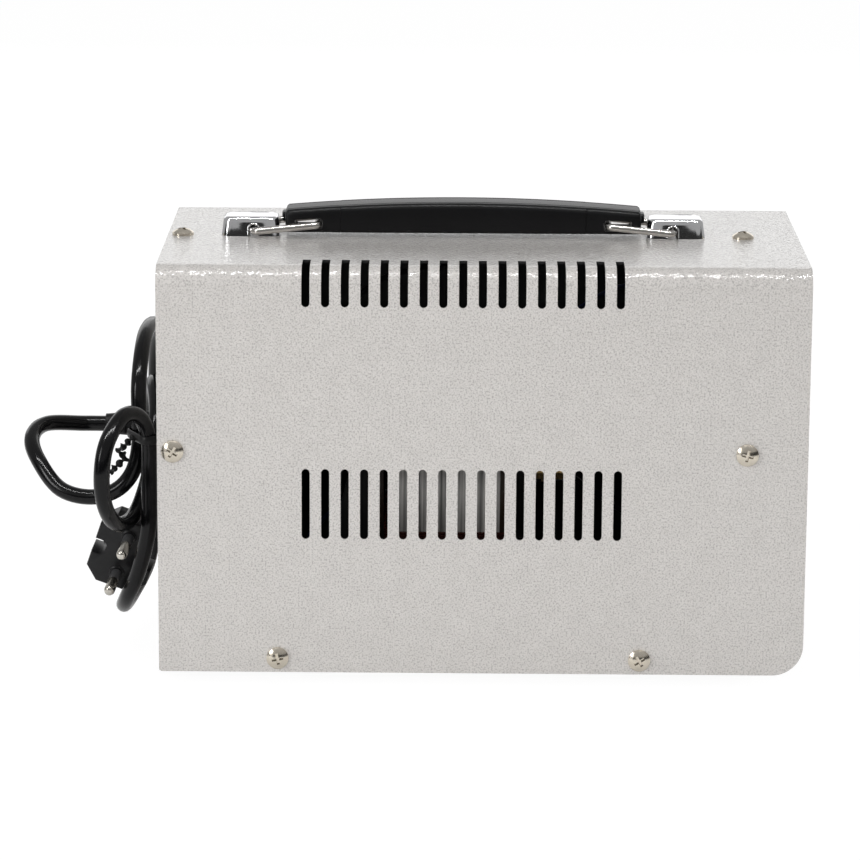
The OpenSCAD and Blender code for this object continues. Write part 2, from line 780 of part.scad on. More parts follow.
module knob() {
    color("#1c1c1c") on_shaft() rotate([zero_angle, 0, 0]) difference() {
        union() {
            rod(knob_skirt_d, knob_x0, knob_x0 + skirt_h);
            rod(knob_d, knob_x0 + skirt_h, knob_x1);
            translate([0, knob_d / 2, 0]) block(knob_x0 + skirt_h - 1, knob_x0 + skirt_h + 1.2, 8, -1, 1);
        }
        for (i = [0:knob_flutes - 1]) rotate([(i + 0.5) * 360 / knob_flutes, 0, 0])
            translate([0, knob_d / 2 + 2, 0]) rod(6.5, knob_x0 + skirt_h + 0.6, knob_x1 + 1);
        rod(knob_d - 14, knob_x1 - 1.2, knob_x1 + 1);
        rod(shaft_d, knob_x0 - 1, shaft_end);
        translate([knob_x0 + skirt_h + 4, 0, 0]) rotate([-90, 0, 0]) cylinder(d = 4, h = knob_d);
    }
}

module dial_plate() {
    color("whitesmoke") on_shaft() ring(dial_d, panel_bush_d + 2 * small_fit, x_front, x_front + dial_t);
}

// ---- Meter ----
meter_y = -31;
outlet_y = 42;
lower_z = 28;
switch_y = -38;
fuse_y = 38;
meter_wall = 3;
meter_stud_ys = [-28, 28];
meter_stud_z = -16;
meter_stud_d = 3;
barrel_l = 30;
card_h = meter_h - 18;
card_z = (meter_h - card_h) / 2 - meter_wall;
card_x = x_front + 2;
card_t = 0.6;
glass_t = 1.5;
glass_x = x_front + meter_t - 1.4 - glass_t;
needle_z = -7;
needle_x = card_x + 2;
needle_tail = 2.6;
needle_l = 24;
zero_z = -17;
magnet_d = 34;

module in_meter() at_yz(meter_y, upper_z) children();

module meter_case() {
    color("#1a1a1a") in_meter() difference() {
        union() {
            push_x(x_front, x_front + meter_t) rounded(meter_w, meter_h, 3);
            rod(barrel_d, x_front - barrel_l, x_front + 1);
            for (y = meter_stud_ys) translate([0, y, meter_stud_z])
                rod(meter_stud_d, x_front - 10, x_front + 1);
        }
        // the room behind the window, down to the card
        translate([0, 0, card_z]) push_x(card_x, x_front + meter_t + 1)
            square([meter_w - 2 * meter_wall, card_h], center = true);
        // the barrel's room, that holds the movement
        rod(barrel_d - 4, x_front - barrel_l + 2, card_x + 1);
        translate([0, 0, zero_z]) rod(6.4, x_front + meter_t - 3, x_front + meter_t + 1);
    }
}

module meter_window() {
    color("lightcyan", 0.4) in_meter() translate([0, 0, card_z]) push_x(glass_x, glass_x + glass_t)
        square([meter_w - 2 * meter_wall, card_h], center = true);
}

module scale_card() {
    color("ivory") in_meter() difference() {
        translate([0, 0, card_z]) push_x(card_x, card_x + card_t)
            square([meter_w - 2 * meter_wall, card_h], center = true);
        translate([0, 0, needle_z]) rod(5, card_x - 1, card_x + 2);
    }
}

module meter_magnet() {
    color("gray") in_meter() translate([0, 0, needle_z]) {
        difference() {
            intersection() {
                ring(magnet_d, 19, x_front - barrel_l + 2, x_front - 8);
                translate([0, 0, -needle_z]) rod(barrel_d - 4, x_front - barrel_l, x_front);
            }
        }
        rod(13, x_front - barrel_l + 2, x_front - 10);
    }
}

module meter_nuts() {
    color("silver") in_meter() for (y = meter_stud_ys) translate([0, y, meter_stud_z]) difference() {
        translate([x_front - sheet - 2.4, 0, 0]) rotate([0, 90, 0]) cylinder(d = 6.2, h = 2.4, $fn = 6);
        rod(meter_stud_d, x_front - 6, x_front);
    }
}

// The needle with its hub, the staff behind the card and the moving coil on it
module needle() {
    color("black") in_meter() translate([0, 0, needle_z]) rotate([needle_turn / 2, 0, 0]) {
        rod(4.4, needle_x - 0.6, needle_x + 1.4);
        rod(1.6, x_front - 9, needle_x + 1);
        translate([needle_x, -0.35, 0]) cube([0.6, 0.7, needle_l]);
        translate([needle_x, -0.9, -needle_tail]) cube([0.6, 1.8, needle_tail + 1]);
        difference() {
            rod(17, x_front - barrel_l + 4, x_front - 9);
            rod(14, x_front - barrel_l + 3, x_front - 9.8);
        }
    }
}

module zero_screw() {
    color("#2a2a2a") in_meter() translate([0, 0, zero_z]) difference() {
        rod(6, x_front + meter_t - 2.8, x_front + meter_t + 0.3);
        block(x_front + meter_t - 0.7, x_front + meter_t + 1, 8, -0.5, 0.5);
    }
}

// ---- Switch ----
switch_rim = 1.8;
switch_t = 2.2;
switch_in_w = switch_w - 2 * switch_rim;
switch_in_h = switch_h - 2 * switch_rim;
switch_body_l = 24;
rocker_gap = 0.4;
rocker_w = switch_in_w - 2 - 2 * rocker_gap;
rocker_r = switch_in_h / 2 - 1 - rocker_gap;
rocker_depth = 3;

module in_switch() at_yz(switch_y, lower_z) children();

module switch_body() {
    color("#1e1e1e") in_switch() {
        difference() {
            union() {
                push_x(x_front, x_front + switch_t) rounded(switch_w, switch_h, 1.5);
                push_x(x_front - switch_body_l, x_front + 1) square([switch_in_w, switch_in_h], center = true);
            }
            push_x(x_front - 12, x_front + switch_t + 1)
                square([switch_in_w - 2, switch_in_h - 2], center = true);
        }
        // the posts that the rocker turns on
        for (side = [-1, 1]) translate([x_front - rocker_depth, side * (switch_in_w / 2 - 0.6), 0])
            rotate([90 * side, 0, 0]) cylinder(d = 3, h = 2.6);
    }
    color("goldenrod") in_switch() for (y = [-6, 6], z = [-8, 0, 8]) translate([0, y, z])
        block(x_front - switch_body_l - 9, x_front - switch_body_l, 0.8, -3.1, 3.1);
}

module rocker() {
    color("firebrick") in_switch() translate([x_front - rocker_depth, 0, 0])
        rotate([0, rocker_turn / 2, 0]) difference() {
            rotate([90, 0, 0]) linear_extrude(rocker_w, center = true) intersection() {
                circle(rocker_r);
                union() {
                    polygon([[-3, -5], [1, -rocker_r], [8.6, -rocker_r], [6, 0], [8.6, rocker_r],
                        [1, rocker_r], [-3, 5]]);
                    circle(5);
                }
            }
            for (side = [-1, 1]) translate([0, side * rocker_w / 2, 0]) rotate([90, 0, 0])
                cylinder(d = 3.1, h = 4.8, center = true);
        }
}

// ---- Outlet ----
outlet_t = 4;
outlet_barrel_d = outlet_d - 3.2;
outlet_floor = 4;
outlet_x0 = x_front + outlet_t - recess_h;
contact_d = 5.4;
contact_l = 16;
contact_floor = 2;
clip_w = 5;

module in_outlet() at_yz(outlet_y, upper_z) children();

module outlet_body() {
    color("#202020") in_outlet() difference() {
        union() {
            rod(outlet_d, x_front, x_front + outlet_t);
            rod(outlet_barrel_d, outlet_x0 - outlet_floor, x_front + 1);
        }
        rod(recess_d, outlet_x0, x_front + outlet_t + 1);
        for (side = [-1, 1]) translate([0, side * pin_span / 2, 0])
            rod(contact_d + 1.6, outlet_x0 - outlet_floor - 1, outlet_x0 + 1);
        for (side = [-1, 1]) translate([0, 0, side * (recess_d / 2 - 0.8)])
            block(outlet_x0 - outlet_floor - 1, outlet_x0 + 12, clip_w + 0.4, -1, 1);
    }
}

module outlet_contacts() {
    color("goldenrod") in_outlet() for (side = [-1, 1]) translate([0, side * pin_span / 2, 0])
        difference() {
            rod(contact_d + 1.6, outlet_x0 - contact_l, outlet_x0 - 0.6);
            rod(contact_d, outlet_x0 - contact_l + contact_floor, outlet_x0);
        }
}

module outlet_earth() {
    strip = 0.8;
    x_back_clip = outlet_x0 - outlet_floor - strip;
    color("goldenrod") in_outlet() {
        for (side = [-1, 1]) translate([0, 0, side * (recess_d / 2 - 0.8)])
            block(x_back_clip, outlet_x0 + 11, clip_w, -strip / 2, strip / 2);
        block(x_back_clip, x_back_clip + strip, clip_w, -recess_d / 2 + 0.8, recess_d / 2 - 0.8);
    }
}

module outlet_nut() {
    color("#2a2a2a") in_outlet()
        ring(outlet_d + 5, outlet_barrel_d + 2 * small_fit, x_front - sheet - 4, x_front - sheet);
}

// ---- Fuse holder ----
fuse_body_d = 12.6;
fuse_body_l = 38;
fuse_rim = 2.4;
fuse_cap_d = 12;
fuse_cap_h = 9;
fuse_stem_d = 9;
fuse_bore = 9.4;
fuse_tab_l = 4.6;

module in_fuse() at_yz(fuse_y, lower_z) children();

module fuse_holder() {
    color("#1e1e1e") in_fuse() {
        difference() {
            union() {
                rod(fuse_d, x_front, x_front + fuse_rim);
                rod(fuse_body_d, x_front - fuse_body_l, x_front + 1);
                translate([x_front - sheet - 4, 0, 0]) rotate([0, 90, 0])
                    cylinder(d = fuse_d + 2, h = 4, $fn = 6);
            }
            rod(fuse_bore, x_front - fuse_body_l + 2, x_front + fuse_rim + 1);
        }
    }
    color("goldenrod") in_fuse() {
        block(x_front - fuse_body_l - 8, x_front - fuse_body_l, 4.8, -0.4, 0.4);
        translate([x_front - 20, (fuse_body_d + fuse_bore) / 4 + fuse_tab_l / 2, 0])
            block(-1, 1, fuse_tab_l, -3, 3);
    }
}

// The glass fuse with its two end caps, that comes out with the cap
module fuse_link() {
    color("lightgray") in_fuse() {
        rod(5.2, x_front - 27, x_front - 21);
        rod(4.6, x_front - 22, x_front - 12);
        rod(5.2, x_front - 13, x_front - 6.2);
    }
}

module fuse_cap() {
    color("#141414") in_fuse() difference() {
        union() {
            rod(fuse_cap_d, x_front + fuse_rim + 0.3, x_front + fuse_rim + 0.3 + fuse_cap_h);
            rod(fuse_stem_d, x_front - 10, x_front + fuse_rim + 1);
        }
        rod(5.4, x_front - 11, x_front - 6);
        block(x_front + fuse_rim + fuse_cap_h - 1.2, x_front + fuse_rim + fuse_cap_h + 1, 14, -0.7, 0.7);
    }
}

// ---- Mains side ----
block_x = plate_x - plate_foot - 21;
block_l = 30;
block_w = 18;
block_h = 15;
block_y = 20;
pole_pitch = 10;

module terminal_block() {
    color("ivory") translate([0, block_y, 0]) difference() {
        block(block_x - block_w / 2, block_x + block_w / 2, block_l, base_top, base_top + block_h);
        for (i = [-1:1]) translate([block_x, i * pole_pitch, base_top]) {
            for (x = [-5, 5]) translate([x, 0, 5]) cylinder(d = 4.4, h = block_h);
            translate([0, 0, 5]) rotate([0, 90, 0]) cylinder(d = 4, h = block_w + 2, center = true);
        }
    }
}

module terminal_screws() {
    color("goldenrod") translate([block_x, block_y, 0]) for (i = [-1:1], x = [-5, 5])
        translate([x, i * pole_pitch, base_top + 7.2]) difference() {
            cylinder(d = 4.2, h = 5);
            translate([-3, -0.4, 4]) cube([6, 0.8, 2]);
        }
}

earth_x = x_back + 24;
earth_y = -22;
module earth_stud() {
    color("goldenrod") translate([earth_x, earth_y, 0]) {
        translate([0, 0, base_top]) cylinder(d = 5, h = 15);
        for (z = [0, 5]) translate([0, 0, base_top + z]) cylinder(d = 9, h = 4, $fn = 6);
        translate([0, 0, base_top + 4]) cylinder(d = 10, h = 1);
    }
}

// ---- Wires and cord ----
function unit(v) = v / norm(v);

function spline(a, b, c, d, t) = (2 * b + (c - a) * t + (2 * a - 5 * b + 4 * c - d) * t * t
    + (3 * b - a - 3 * c + d) * t * t * t) / 2;

function spread(p, per) = let (n = len(p) - 1) [
    for (i = [0:n - 1]) for (k = [0:per - 1])
        spline(i == 0 ? 2 * p[0] - p[1] : p[i - 1], p[i], p[i + 1],
            i == n - 1 ? 2 * p[n] - p[n - 1] : p[i + 2], k / per),
    p[n]
];

function ways(q) = let (n = len(q) - 1) [
    for (i = [0:n]) unit(q[min(i + 1, n)] - q[max(i - 1, 0)])
];

function sideways(t) = [
    for (i = 0, s = unit(cross(t[0], [0.3, 0.2, 1])); i < len(t);
        i = i + 1, s = i < len(t) ? unit(s - t[i] * (s * t[i])) : s) s
];

// A round tube along the points p, with the given number of rings to each stretch
module tube(p, d, per, sides = 8) {
    q = spread(p, per);
    t = ways(q);
    s = sideways(t);
    n = len(q);
    points = [for (i = [0:n - 1]) let (u = s[i], v = cross(t[i], s[i]))
        for (k = [0:sides - 1]) q[i] + d / 2 * (cos(360 * k / sides) * u + sin(360 * k / sides) * v)];
    walls = [for (i = [0:n - 2], k = [0:sides - 1])
        let (a = i * sides + k, b = i * sides + (k + 1) % sides) [a, a + sides, b + sides, b]];
    polyhedron(points, concat([[for (k = [0:sides - 1]) k]], walls,
        [[for (k = [sides - 1:-1:0]) (n - 1) * sides + k]]), convexity = 20);
}

// Mains lead: it leaves the back panel, hangs in tied loops behind it and ends in a plug
lead_y = 15;
lead_z = 95;
lead_d = 7;
relief_neck_d = 12.6;
relief_l = 28;
relief_flange = 2;
relief_tip_x = x_back - relief_flange - relief_l;

module strain_relief() {
    color("#1a1a1a") at_yz(lead_y, lead_z) difference() {
        union() {
            rod(relief_neck_d, x_back - 1, x_back + sheet + 4);
            rod(17, x_back + sheet, x_back + sheet + 3);
            rod(17, x_back - relief_flange, x_back);
            translate([relief_tip_x, 0, 0]) rotate([0, 90, 0])
                cylinder(d1 = 9, d2 = 13.4, h = relief_l + 0.5);
        }
        for (i = [0:4], side = [-1, 1]) translate([relief_tip_x + 5 + i * 4.4, side * 7.4, 0])
            block(-0.8, 0.8, 8, -10, 10);
    }
}

// Where the plug lies, and how it is turned
plug_face = [-159.4, -29, 45];
plug_tilt = 12;
plug_yaw = 6.5;
plug_roll = 20;
plug_l = 34;
boot_l = 14;
plug_way = [cos(plug_tilt) * sin(plug_yaw), cos(plug_tilt) * cos(plug_yaw), sin(plug_tilt)];

// The route of the lead, from the tip of the strain relief to the end of the plug's boot
lead_route = [
    [relief_tip_x, lead_y, lead_z], [-180, 15, 95],
    // the loop that stands out to the back
    [-196, 5, 97], [-201, -9, 94], [-197, -23, 87], [-186, -33, 76], [-170, -38, 74], [-157, -40, 81],
    // up and over, down the far side of the big loop, and under the plug
    [-151, -39, 96], [-151, -34, 125], [-150, -8, 141], [-148, 28, 137], [-150, 51, 108],
    [-150, 53, 66], [-151, 46, 43], [-153, 32, 26], [-158, 8, 18], [-160, -17, 19], [-157, -36, 28],
    // up the near side and round the small loop
    [-151, -47, 43], [-146, -52, 64], [-146, -47, 86], [-146, -48, 103], [-149, -58, 115],
    [-155, -71, 118], [-161, -84, 109], [-163, -88, 95], [-162, -82, 80], [-158, -67, 69],
    // over the strain relief and down into the plug
    [-152, -47, 69], [-147, -29, 84], [-145, -12, 106], [-148, 11, 115], [-150, 33, 104],
    [-151, 42, 84], [-151, 39, 71], [-151, 30, 61], plug_face + (plug_l + boot_l) * plug_way
];

module mains_lead() {
    color("#161616") tube(lead_route, lead_d, 2);
}

// The tie that holds two strands of the lead together, with its twisted tail
tie_at = [-148.5, -43, 103];
tie_turn = -63;
tie_long = 20.4;
tie_wide = 8;
tie_t = 0.6;
tie_band = 4;
tie_tail = [[-152.4, -45.2, 103], [-156, -47, 100], [-159, -46, 97], [-156, -48, 94], [-160, -50, 91],
    [-163, -49, 88]];

module lead_tie() {
    color("#101010") {
        translate(tie_at) rotate(tie_turn) linear_extrude(tie_band, center = true) difference() {
            rounded(tie_long + 2 * tie_t, tie_wide + 2 * tie_t, tie_wide / 2 + tie_t - 0.01);
            rounded(tie_long, tie_wide, tie_wide / 2 - 0.01);
        }
        tube(tie_tail, 1.8, 2);
    }
}

// A two-pin plug, its pins along -Y before it is turned; the face is at y = 0
plug_w = 28;
plug_long = 34;
plug_chamfer = 6;
plug_slab = 13;
plug_pin_d = 4.8;
plug_pin_l = 19;
notch_w = 6.4;
notch_deep = 6;

module at_plug() translate(plug_face) rotate([plug_tilt, 0, -plug_yaw]) rotate([0, plug_roll, 0])
    children();

// An outline in X and Z, pushed along Y away from the face
module push_y(y0, y1) {
    translate([0, y1, 0]) rotate([90, 0, 0]) linear_extrude(y1 - y0) children();
}

module plug_outline(w, l, c) {
    polygon([for (p = [[1, 1], [-1, 1], [-1, -1], [1, -1]]) for (k = [0, 1])
        let (first = p[0] * p[1] > 0 ? k == 0 : k == 1)
            [p[0] * (w / 2 - (first ? 0 : c)), p[1] * (l / 2 - (first ? c : 0))]]);
}

module plug_body() {
    color("#161616") at_plug() difference() {
        union() {
            push_y(0, plug_slab) plug_outline(plug_w, plug_long, plug_chamfer);
            push_y(plug_slab - 1, plug_slab + 7) rounded(19, 27, 5);
            push_y(plug_slab + 6, plug_l) rounded(15, 18, 5);
            translate([0, plug_l - 1, 0]) rotate([-90, 0, 0]) cylinder(d1 = 13, d2 = 9, h = boot_l + 1);
        }
        for (side = [-1, 1]) {
            translate([side * (plug_w / 2 - notch_deep + notch_w / 2), 0, 0]) push_y(-1, plug_slab + 1)
                union() {
                    circle(d = notch_w);
                    translate([side > 0 ? 0 : -plug_w, -notch_w / 2]) square([plug_w, notch_w]);
                }
            translate([0, 0, side * pin_span / 2]) rotate([-90, 0, 0])
                translate([0, 0, -1]) cylinder(d = plug_pin_d + 0.1, h = plug_slab - 2);
        }
    }
}

module plug_pins() {
    color("silver") at_plug() for (side = [-1, 1]) translate([0, 0, side * pin_span / 2])
        rotate([90, 0, 0]) {
            translate([0, 0, -plug_slab + 3]) cylinder(d = plug_pin_d, h = plug_pin_l - 2 + plug_slab - 3);
            translate([0, 0, plug_pin_l - 2]) cylinder(d1 = plug_pin_d, d2 = plug_pin_d - 2, h = 2);
        }
}

// The wires inside the case
wire_gauge = 2.6;
wire_hole = [10, 17.3];
tap_z = base_top + 5;
rear_pole = block_x - block_w / 2;
front_pole = block_x + block_w / 2;
relief_in = x_back + sheet + 4;
switch_tag_x = x_front - switch_body_l - 9;
fuse_tag_x = x_front - fuse_body_l - 8;
contact_x = outlet_x0 - contact_l;
// where the wires cross over behind the front panel's parts
wire_x = x_front - 46.5;
wire_list = [
    // the lead's three cores, to the terminal block and the earth stud
    [[relief_in, lead_y - 3, lead_z], [x_back + 16, 9, 84], [x_back + 20, 8, 50], [rear_pole - 9, 10, 22],
        [rear_pole, block_y - pole_pitch, tap_z]],
    [[relief_in, lead_y + 3, lead_z], [x_back + 18, 22, 84], [x_back + 21, 24, 50], [rear_pole - 8, 22, 22],
        [rear_pole, block_y, tap_z]],
    [[relief_in, lead_y, lead_z - 3], [x_back + 12, 8, 76], [x_back + 14, -12, 48], [x_back + 19, -24, 32],
        [earth_x, earth_y, base_top + 15]],
    // line to the switch, round the side of the transformer
    [[front_pole, block_y - pole_pitch, tap_z], [front_pole + 7, 24, 17], [front_pole + 8, 46, 18],
        [-66, 57, 15], [-50, 60, 13], [10, 60, 12], [50, 30, 13], [wire_x, -10, 14],
        [switch_tag_x, switch_y + 6, lower_z - 8]],
    // switch to fuse
    [[switch_tag_x, switch_y - 6, lower_z + 8], [wire_x + 2, -40, 44], [wire_x - 6, -10, 40],
        [wire_x - 12, 20, 30], [fuse_tag_x, fuse_y, lower_z]],
    // fuse to the winding
    [[x_front - 20, fuse_y + fuse_body_d / 2 + 1.6, lower_z], [wire_x + 16, 52, 32],
        [60, 62, 48], [30, 64, 70],
        [core_x + 20, core_d / 2 + wind_out + 1.4, axis_z]],
    // neutral to the winding
    [[front_pole, block_y, tap_z], [front_pole + 7, 34, 24], [front_pole + 8, 52, 34], [-66, 61, 46],
        [-50, 65, 62],
        [core_x - 20, core_d / 2 + wind_out + 1.4, axis_z]],
    // the brush's collector, back through the bore and over the top to the outlet
    [[hub_x - 0.2, wire_hole[0], axis_z + wire_hole[1]], [0, 10, 103.6], [-40, 10, 104], [-53, 10, 104.4],
        [-62, 13, 108], [-66, 20, 128], [-56, 28, 152], [-30, 34, 164], [40, 40, 170], [wire_x + 4, 34, 164],
        [contact_x, outlet_y - pin_span / 2, upper_z]],
    // the winding's common end to the outlet
    [[core_x + 10, core_d / 2 + wind_out + 1.4, axis_z + 4], [10, 66, 104], [34, 68, 130],
        [wire_x - 12, 62, 150],
        [contact_x, outlet_y + pin_span / 2, upper_z]],
    // outlet to meter
    [[contact_x, outlet_y - pin_span / 2 - 1, upper_z + 4], [wire_x + 8, 20, 168], [wire_x + 6, -8, 166],
        [x_front - barrel_l, meter_y + 8, upper_z + 6]],
    [[contact_x, outlet_y + pin_span / 2 - 1, upper_z - 4], [wire_x + 6, 44, 138], [wire_x + 4, 4, 138],
        [x_front - barrel_l, meter_y + 8, upper_z - 6]]
];

module inner_wires() {
    color("firebrick") for (w = wire_list) tube(w, wire_gauge, 3);
}

cover();
base_plate();
front_panel();
back_panel();
cover_screws();
panel_screws();
feet();
foot_screws();
handle_brackets();
handle_screws();
bail_back();
bail_front();
grip();
core();
core_insulators();
winding();
rear_seat();
transformer_bracket();
bracket_screws();
clamp_disc();
clamp_bolts();
shaft_bushes();
panel_bush();
collector_ring();
stop_post();
shaft();
shaft_collar();
brush_arm();
brush_holder();
brush();
brush_spring();
contact_washer();
knob();
dial_plate();
meter_case();
meter_window();
scale_card();
meter_magnet();
meter_nuts();
needle();
zero_screw();
switch_body();
rocker();
outlet_body();
outlet_contacts();
outlet_earth();
outlet_nut();
fuse_holder();
fuse_link();
fuse_cap();
terminal_block();
terminal_screws();
earth_stud();
inner_wires();
strain_relief();
mains_lead();
lead_tie();
plug_body();
plug_pins();
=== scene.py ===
from math import atan2, cos, pi, radians, sin

import bmesh
import bpy
from mathutils import Matrix, Vector


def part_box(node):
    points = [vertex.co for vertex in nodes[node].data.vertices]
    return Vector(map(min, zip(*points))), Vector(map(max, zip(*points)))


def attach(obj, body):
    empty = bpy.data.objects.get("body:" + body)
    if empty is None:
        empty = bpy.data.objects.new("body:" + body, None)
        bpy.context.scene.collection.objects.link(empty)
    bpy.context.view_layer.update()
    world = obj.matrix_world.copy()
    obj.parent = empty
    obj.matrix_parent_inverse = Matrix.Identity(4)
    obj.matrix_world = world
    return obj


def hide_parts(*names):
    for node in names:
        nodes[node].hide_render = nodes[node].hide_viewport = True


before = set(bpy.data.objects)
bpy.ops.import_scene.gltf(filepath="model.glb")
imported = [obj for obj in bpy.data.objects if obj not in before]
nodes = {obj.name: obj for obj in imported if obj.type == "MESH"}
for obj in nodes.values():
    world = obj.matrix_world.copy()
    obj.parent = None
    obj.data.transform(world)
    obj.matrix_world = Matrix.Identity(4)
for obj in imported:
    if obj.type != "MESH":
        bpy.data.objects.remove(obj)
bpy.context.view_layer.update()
mm = 0.001

# ---- Studio ----
# The set stands on its feet on a white sweep, seen from its left side and a little from above
# with a long lens. Softboxes light it from the front, from above, from behind and from the left,
# and a narrow strip over the edge draws the shine along the bend of the cover.
camera_at = Vector((-13.09, -1725.5, 498.61)) * mm
camera_down = 0.22897
camera_left = 0.00579
camera_tilt = 0.00576
camera_lens = 165.03

along = Vector((-sin(camera_left) * cos(camera_down), cos(camera_left) * cos(camera_down),
                -sin(camera_down)))
level = Vector((cos(camera_left), sin(camera_left), 0))
upright = level.cross(along)
sideways = level * cos(camera_tilt) + upright * sin(camera_tilt)
upright = upright * cos(camera_tilt) - level * sin(camera_tilt)
camera_data = bpy.data.cameras.new("camera")
camera_data.lens = camera_lens
camera_data.sensor_width = 36
camera_data.clip_end = 20
camera = bpy.data.objects.new("camera", camera_data)
camera.matrix_world = Matrix((
    (sideways.x, upright.x, -along.x, camera_at.x),
    (sideways.y, upright.y, -along.y, camera_at.y),
    (sideways.z, upright.z, -along.z, camera_at.z),
    (0, 0, 0, 1),
))
bpy.context.scene.collection.objects.link(camera)
bpy.context.scene.camera = camera
bpy.context.scene.view_settings.view_transform = "Standard"


def softbox(name, place, target, size, power):
    data = bpy.data.lights.new(name, "AREA")
    data.shape = "RECTANGLE"
    data.size = size[0]
    data.size_y = size[1]
    data.energy = power
    lamp = bpy.data.objects.new(name, data)
    lamp.location = place
    lamp.rotation_euler = (Vector(target) - Vector(place)).to_track_quat("-Z", "Y").to_euler()
    bpy.context.scene.collection.objects.link(lamp)
    return lamp


softbox("over_the_front", (0, -1.6, 0.8), (0, 0, 0.1), (1.6, 0.5), 11.1).visible_glossy = False
softbox("overhead", (0, 0.2, 1.5), (0, 0, 0.18), (1.3, 1.1), 7.5).visible_glossy = False
softbox("strip", (0, -0.32, 1.16), (0, -0.075, 0.18), (1.7, 0.03), 12).visible_diffuse = False
softbox("back_bounce", (0, 1.8, 0.75), (0, 0, 0.15), (3, 1), 8)
softbox("left_fill", (-1.4, -1.0, 0.6), (0, 0, 0.1), (0.25, 1.2), 10)

world = bpy.data.worlds.new("white_room")
world.use_nodes = True
bpy.context.scene.world = world
room = world.node_tree
room.nodes["Background"].inputs["Color"].default_value = (1, 1, 1, 1)
seen = room.nodes.new("ShaderNodeLightPath")
brightness = room.nodes.new("ShaderNodeMapRange")
brightness.inputs["To Min"].default_value = 0.38
brightness.inputs["To Max"].default_value = 1.0
room.links.new(seen.outputs["Is Camera Ray"], brightness.inputs["Value"])
room.links.new(brightness.outputs[0], room.nodes["Background"].inputs["Strength"])


def new_material(name):
    """A new material, its node tree and its main shader."""
    material = bpy.data.materials.new(name)
    material.use_nodes = True
    return material, material.node_tree, material.node_tree.nodes["Principled BSDF"]


sweep_mesh = bpy.data.meshes.new("white_sweep")
sweep_mesh.from_pydata([(-5, -5, 0), (5, -5, 0), (5, 5, 0), (-5, 5, 0)], [], [(0, 1, 2, 3)])
sweep = bpy.data.objects.new("white_sweep", sweep_mesh)
bpy.context.scene.collection.objects.link(sweep)
paper, sheet, paper_skin = new_material("white_paper")
paper_skin.inputs["Base Color"].default_value = (0.92, 0.92, 0.92, 1)
paper_skin.inputs["Roughness"].default_value = 0.9
glow = sheet.nodes.new("ShaderNodeEmission")
glow.inputs["Strength"].default_value = 1.06
blend_in = sheet.nodes.new("ShaderNodeMixShader")
watched = sheet.nodes.new("ShaderNodeLightPath")
share = sheet.nodes.new("ShaderNodeMath")
share.operation = "MULTIPLY"
share.inputs[1].default_value = 0.9
sheet.links.new(watched.outputs["Is Camera Ray"], share.inputs[0])
sheet.links.new(share.outputs[0], blend_in.inputs[0])
sheet.links.new(paper_skin.outputs[0], blend_in.inputs[1])
sheet.links.new(glow.outputs[0], blend_in.inputs[2])
sheet.links.new(blend_in.outputs[0], sheet.nodes["Material Output"].inputs["Surface"])
sweep_mesh.materials.append(paper)

# a black card that lies round the set and stands up at its rim, seen only in metal and gloss
flag_mesh = bpy.data.meshes.new("black_card")
card_points = [(-cos(pi * k / 16) * far, -sin(pi * k / 16) * far, high)
               for far, high in ((0.8, 0.0005), (1.2, 0.0005), (1.4, 0.42)) for k in range(17)]
flag_mesh.from_pydata(card_points, [], [(17 * n + k, 17 * n + k + 1, 17 * n + 18 + k, 17 * n + 17 + k)
                                        for n in range(2) for k in range(16)])
flag = bpy.data.objects.new("black_card", flag_mesh)
flag.visible_camera = False
flag.visible_diffuse = False
flag.visible_shadow = False
flag.visible_transmission = False
bpy.context.scene.collection.objects.link(flag)
black_felt, _, felt_skin = new_material("black_felt")
felt_skin.inputs["Base Color"].default_value = (0.02, 0.02, 0.02, 1)
felt_skin.inputs["Roughness"].default_value = 1
flag_mesh.materials.append(black_felt)

# ---- Mains lead ----
# A three-core PVC lead, 7 mm thick. It leaves the back panel through a tapered strain relief,
# springs out in a loop, goes up and down behind the case and ends in its plug.
lead_thickness = 7 * mm
relief_tip = (-170, 15, 95)
plug_face = Vector((-159.4, -29, 45))
plug_tilt = radians(12)
plug_yaw = radians(6.5)
plug_roll = radians(20)
plug_length = 34
boot_length = 14
plug_way = Vector((cos(plug_tilt) * sin(plug_yaw), cos(plug_tilt) * cos(plug_yaw), sin(plug_tilt)))
lead_route = [
    relief_tip, (-180, 15, 95),
    (-196, 5, 97), (-201, -9, 94), (-197, -23, 87), (-186, -33, 76), (-170, -38, 74), (-157, -40, 81),
    (-151, -39, 96), (-151, -34, 125), (-150, -8, 141), (-148, 28, 137), (-150, 51, 108),
    (-150, 53, 66), (-151, 46, 43), (-153, 32, 26), (-158, 8, 18), (-160, -17, 19), (-157, -36, 28),
    (-151, -47, 43), (-146, -52, 64), (-146, -47, 86), (-146, -48, 103), (-149, -58, 115),
    (-155, -71, 118), (-161, -84, 109), (-163, -88, 95), (-162, -82, 80), (-158, -67, 69),
    (-152, -47, 69), (-147, -29, 84), (-145, -12, 106), (-148, 11, 115), (-150, 33, 104),
    (-151, 42, 84), (-151, 39, 71), (-151, 30, 61),
    tuple(plug_face + (plug_length + boot_length) * plug_way),
]


def smooth_path(stops, steps):
    stops = [Vector(stop) * mm for stop in stops]
    ends = [2 * stops[0] - stops[1]] + stops + [2 * stops[-1] - stops[-2]]
    path = []
    for i in range(len(stops) - 1):
        a, b, c, d = ends[i:i + 4]
        for k in range(steps):
            t = k / steps
            path.append((2 * b + (c - a) * t + (2 * a - 5 * b + 4 * c - d) * t ** 2
                         + (3 * b - a - 3 * c + d) * t ** 3) / 2)
    return path + [stops[-1]]


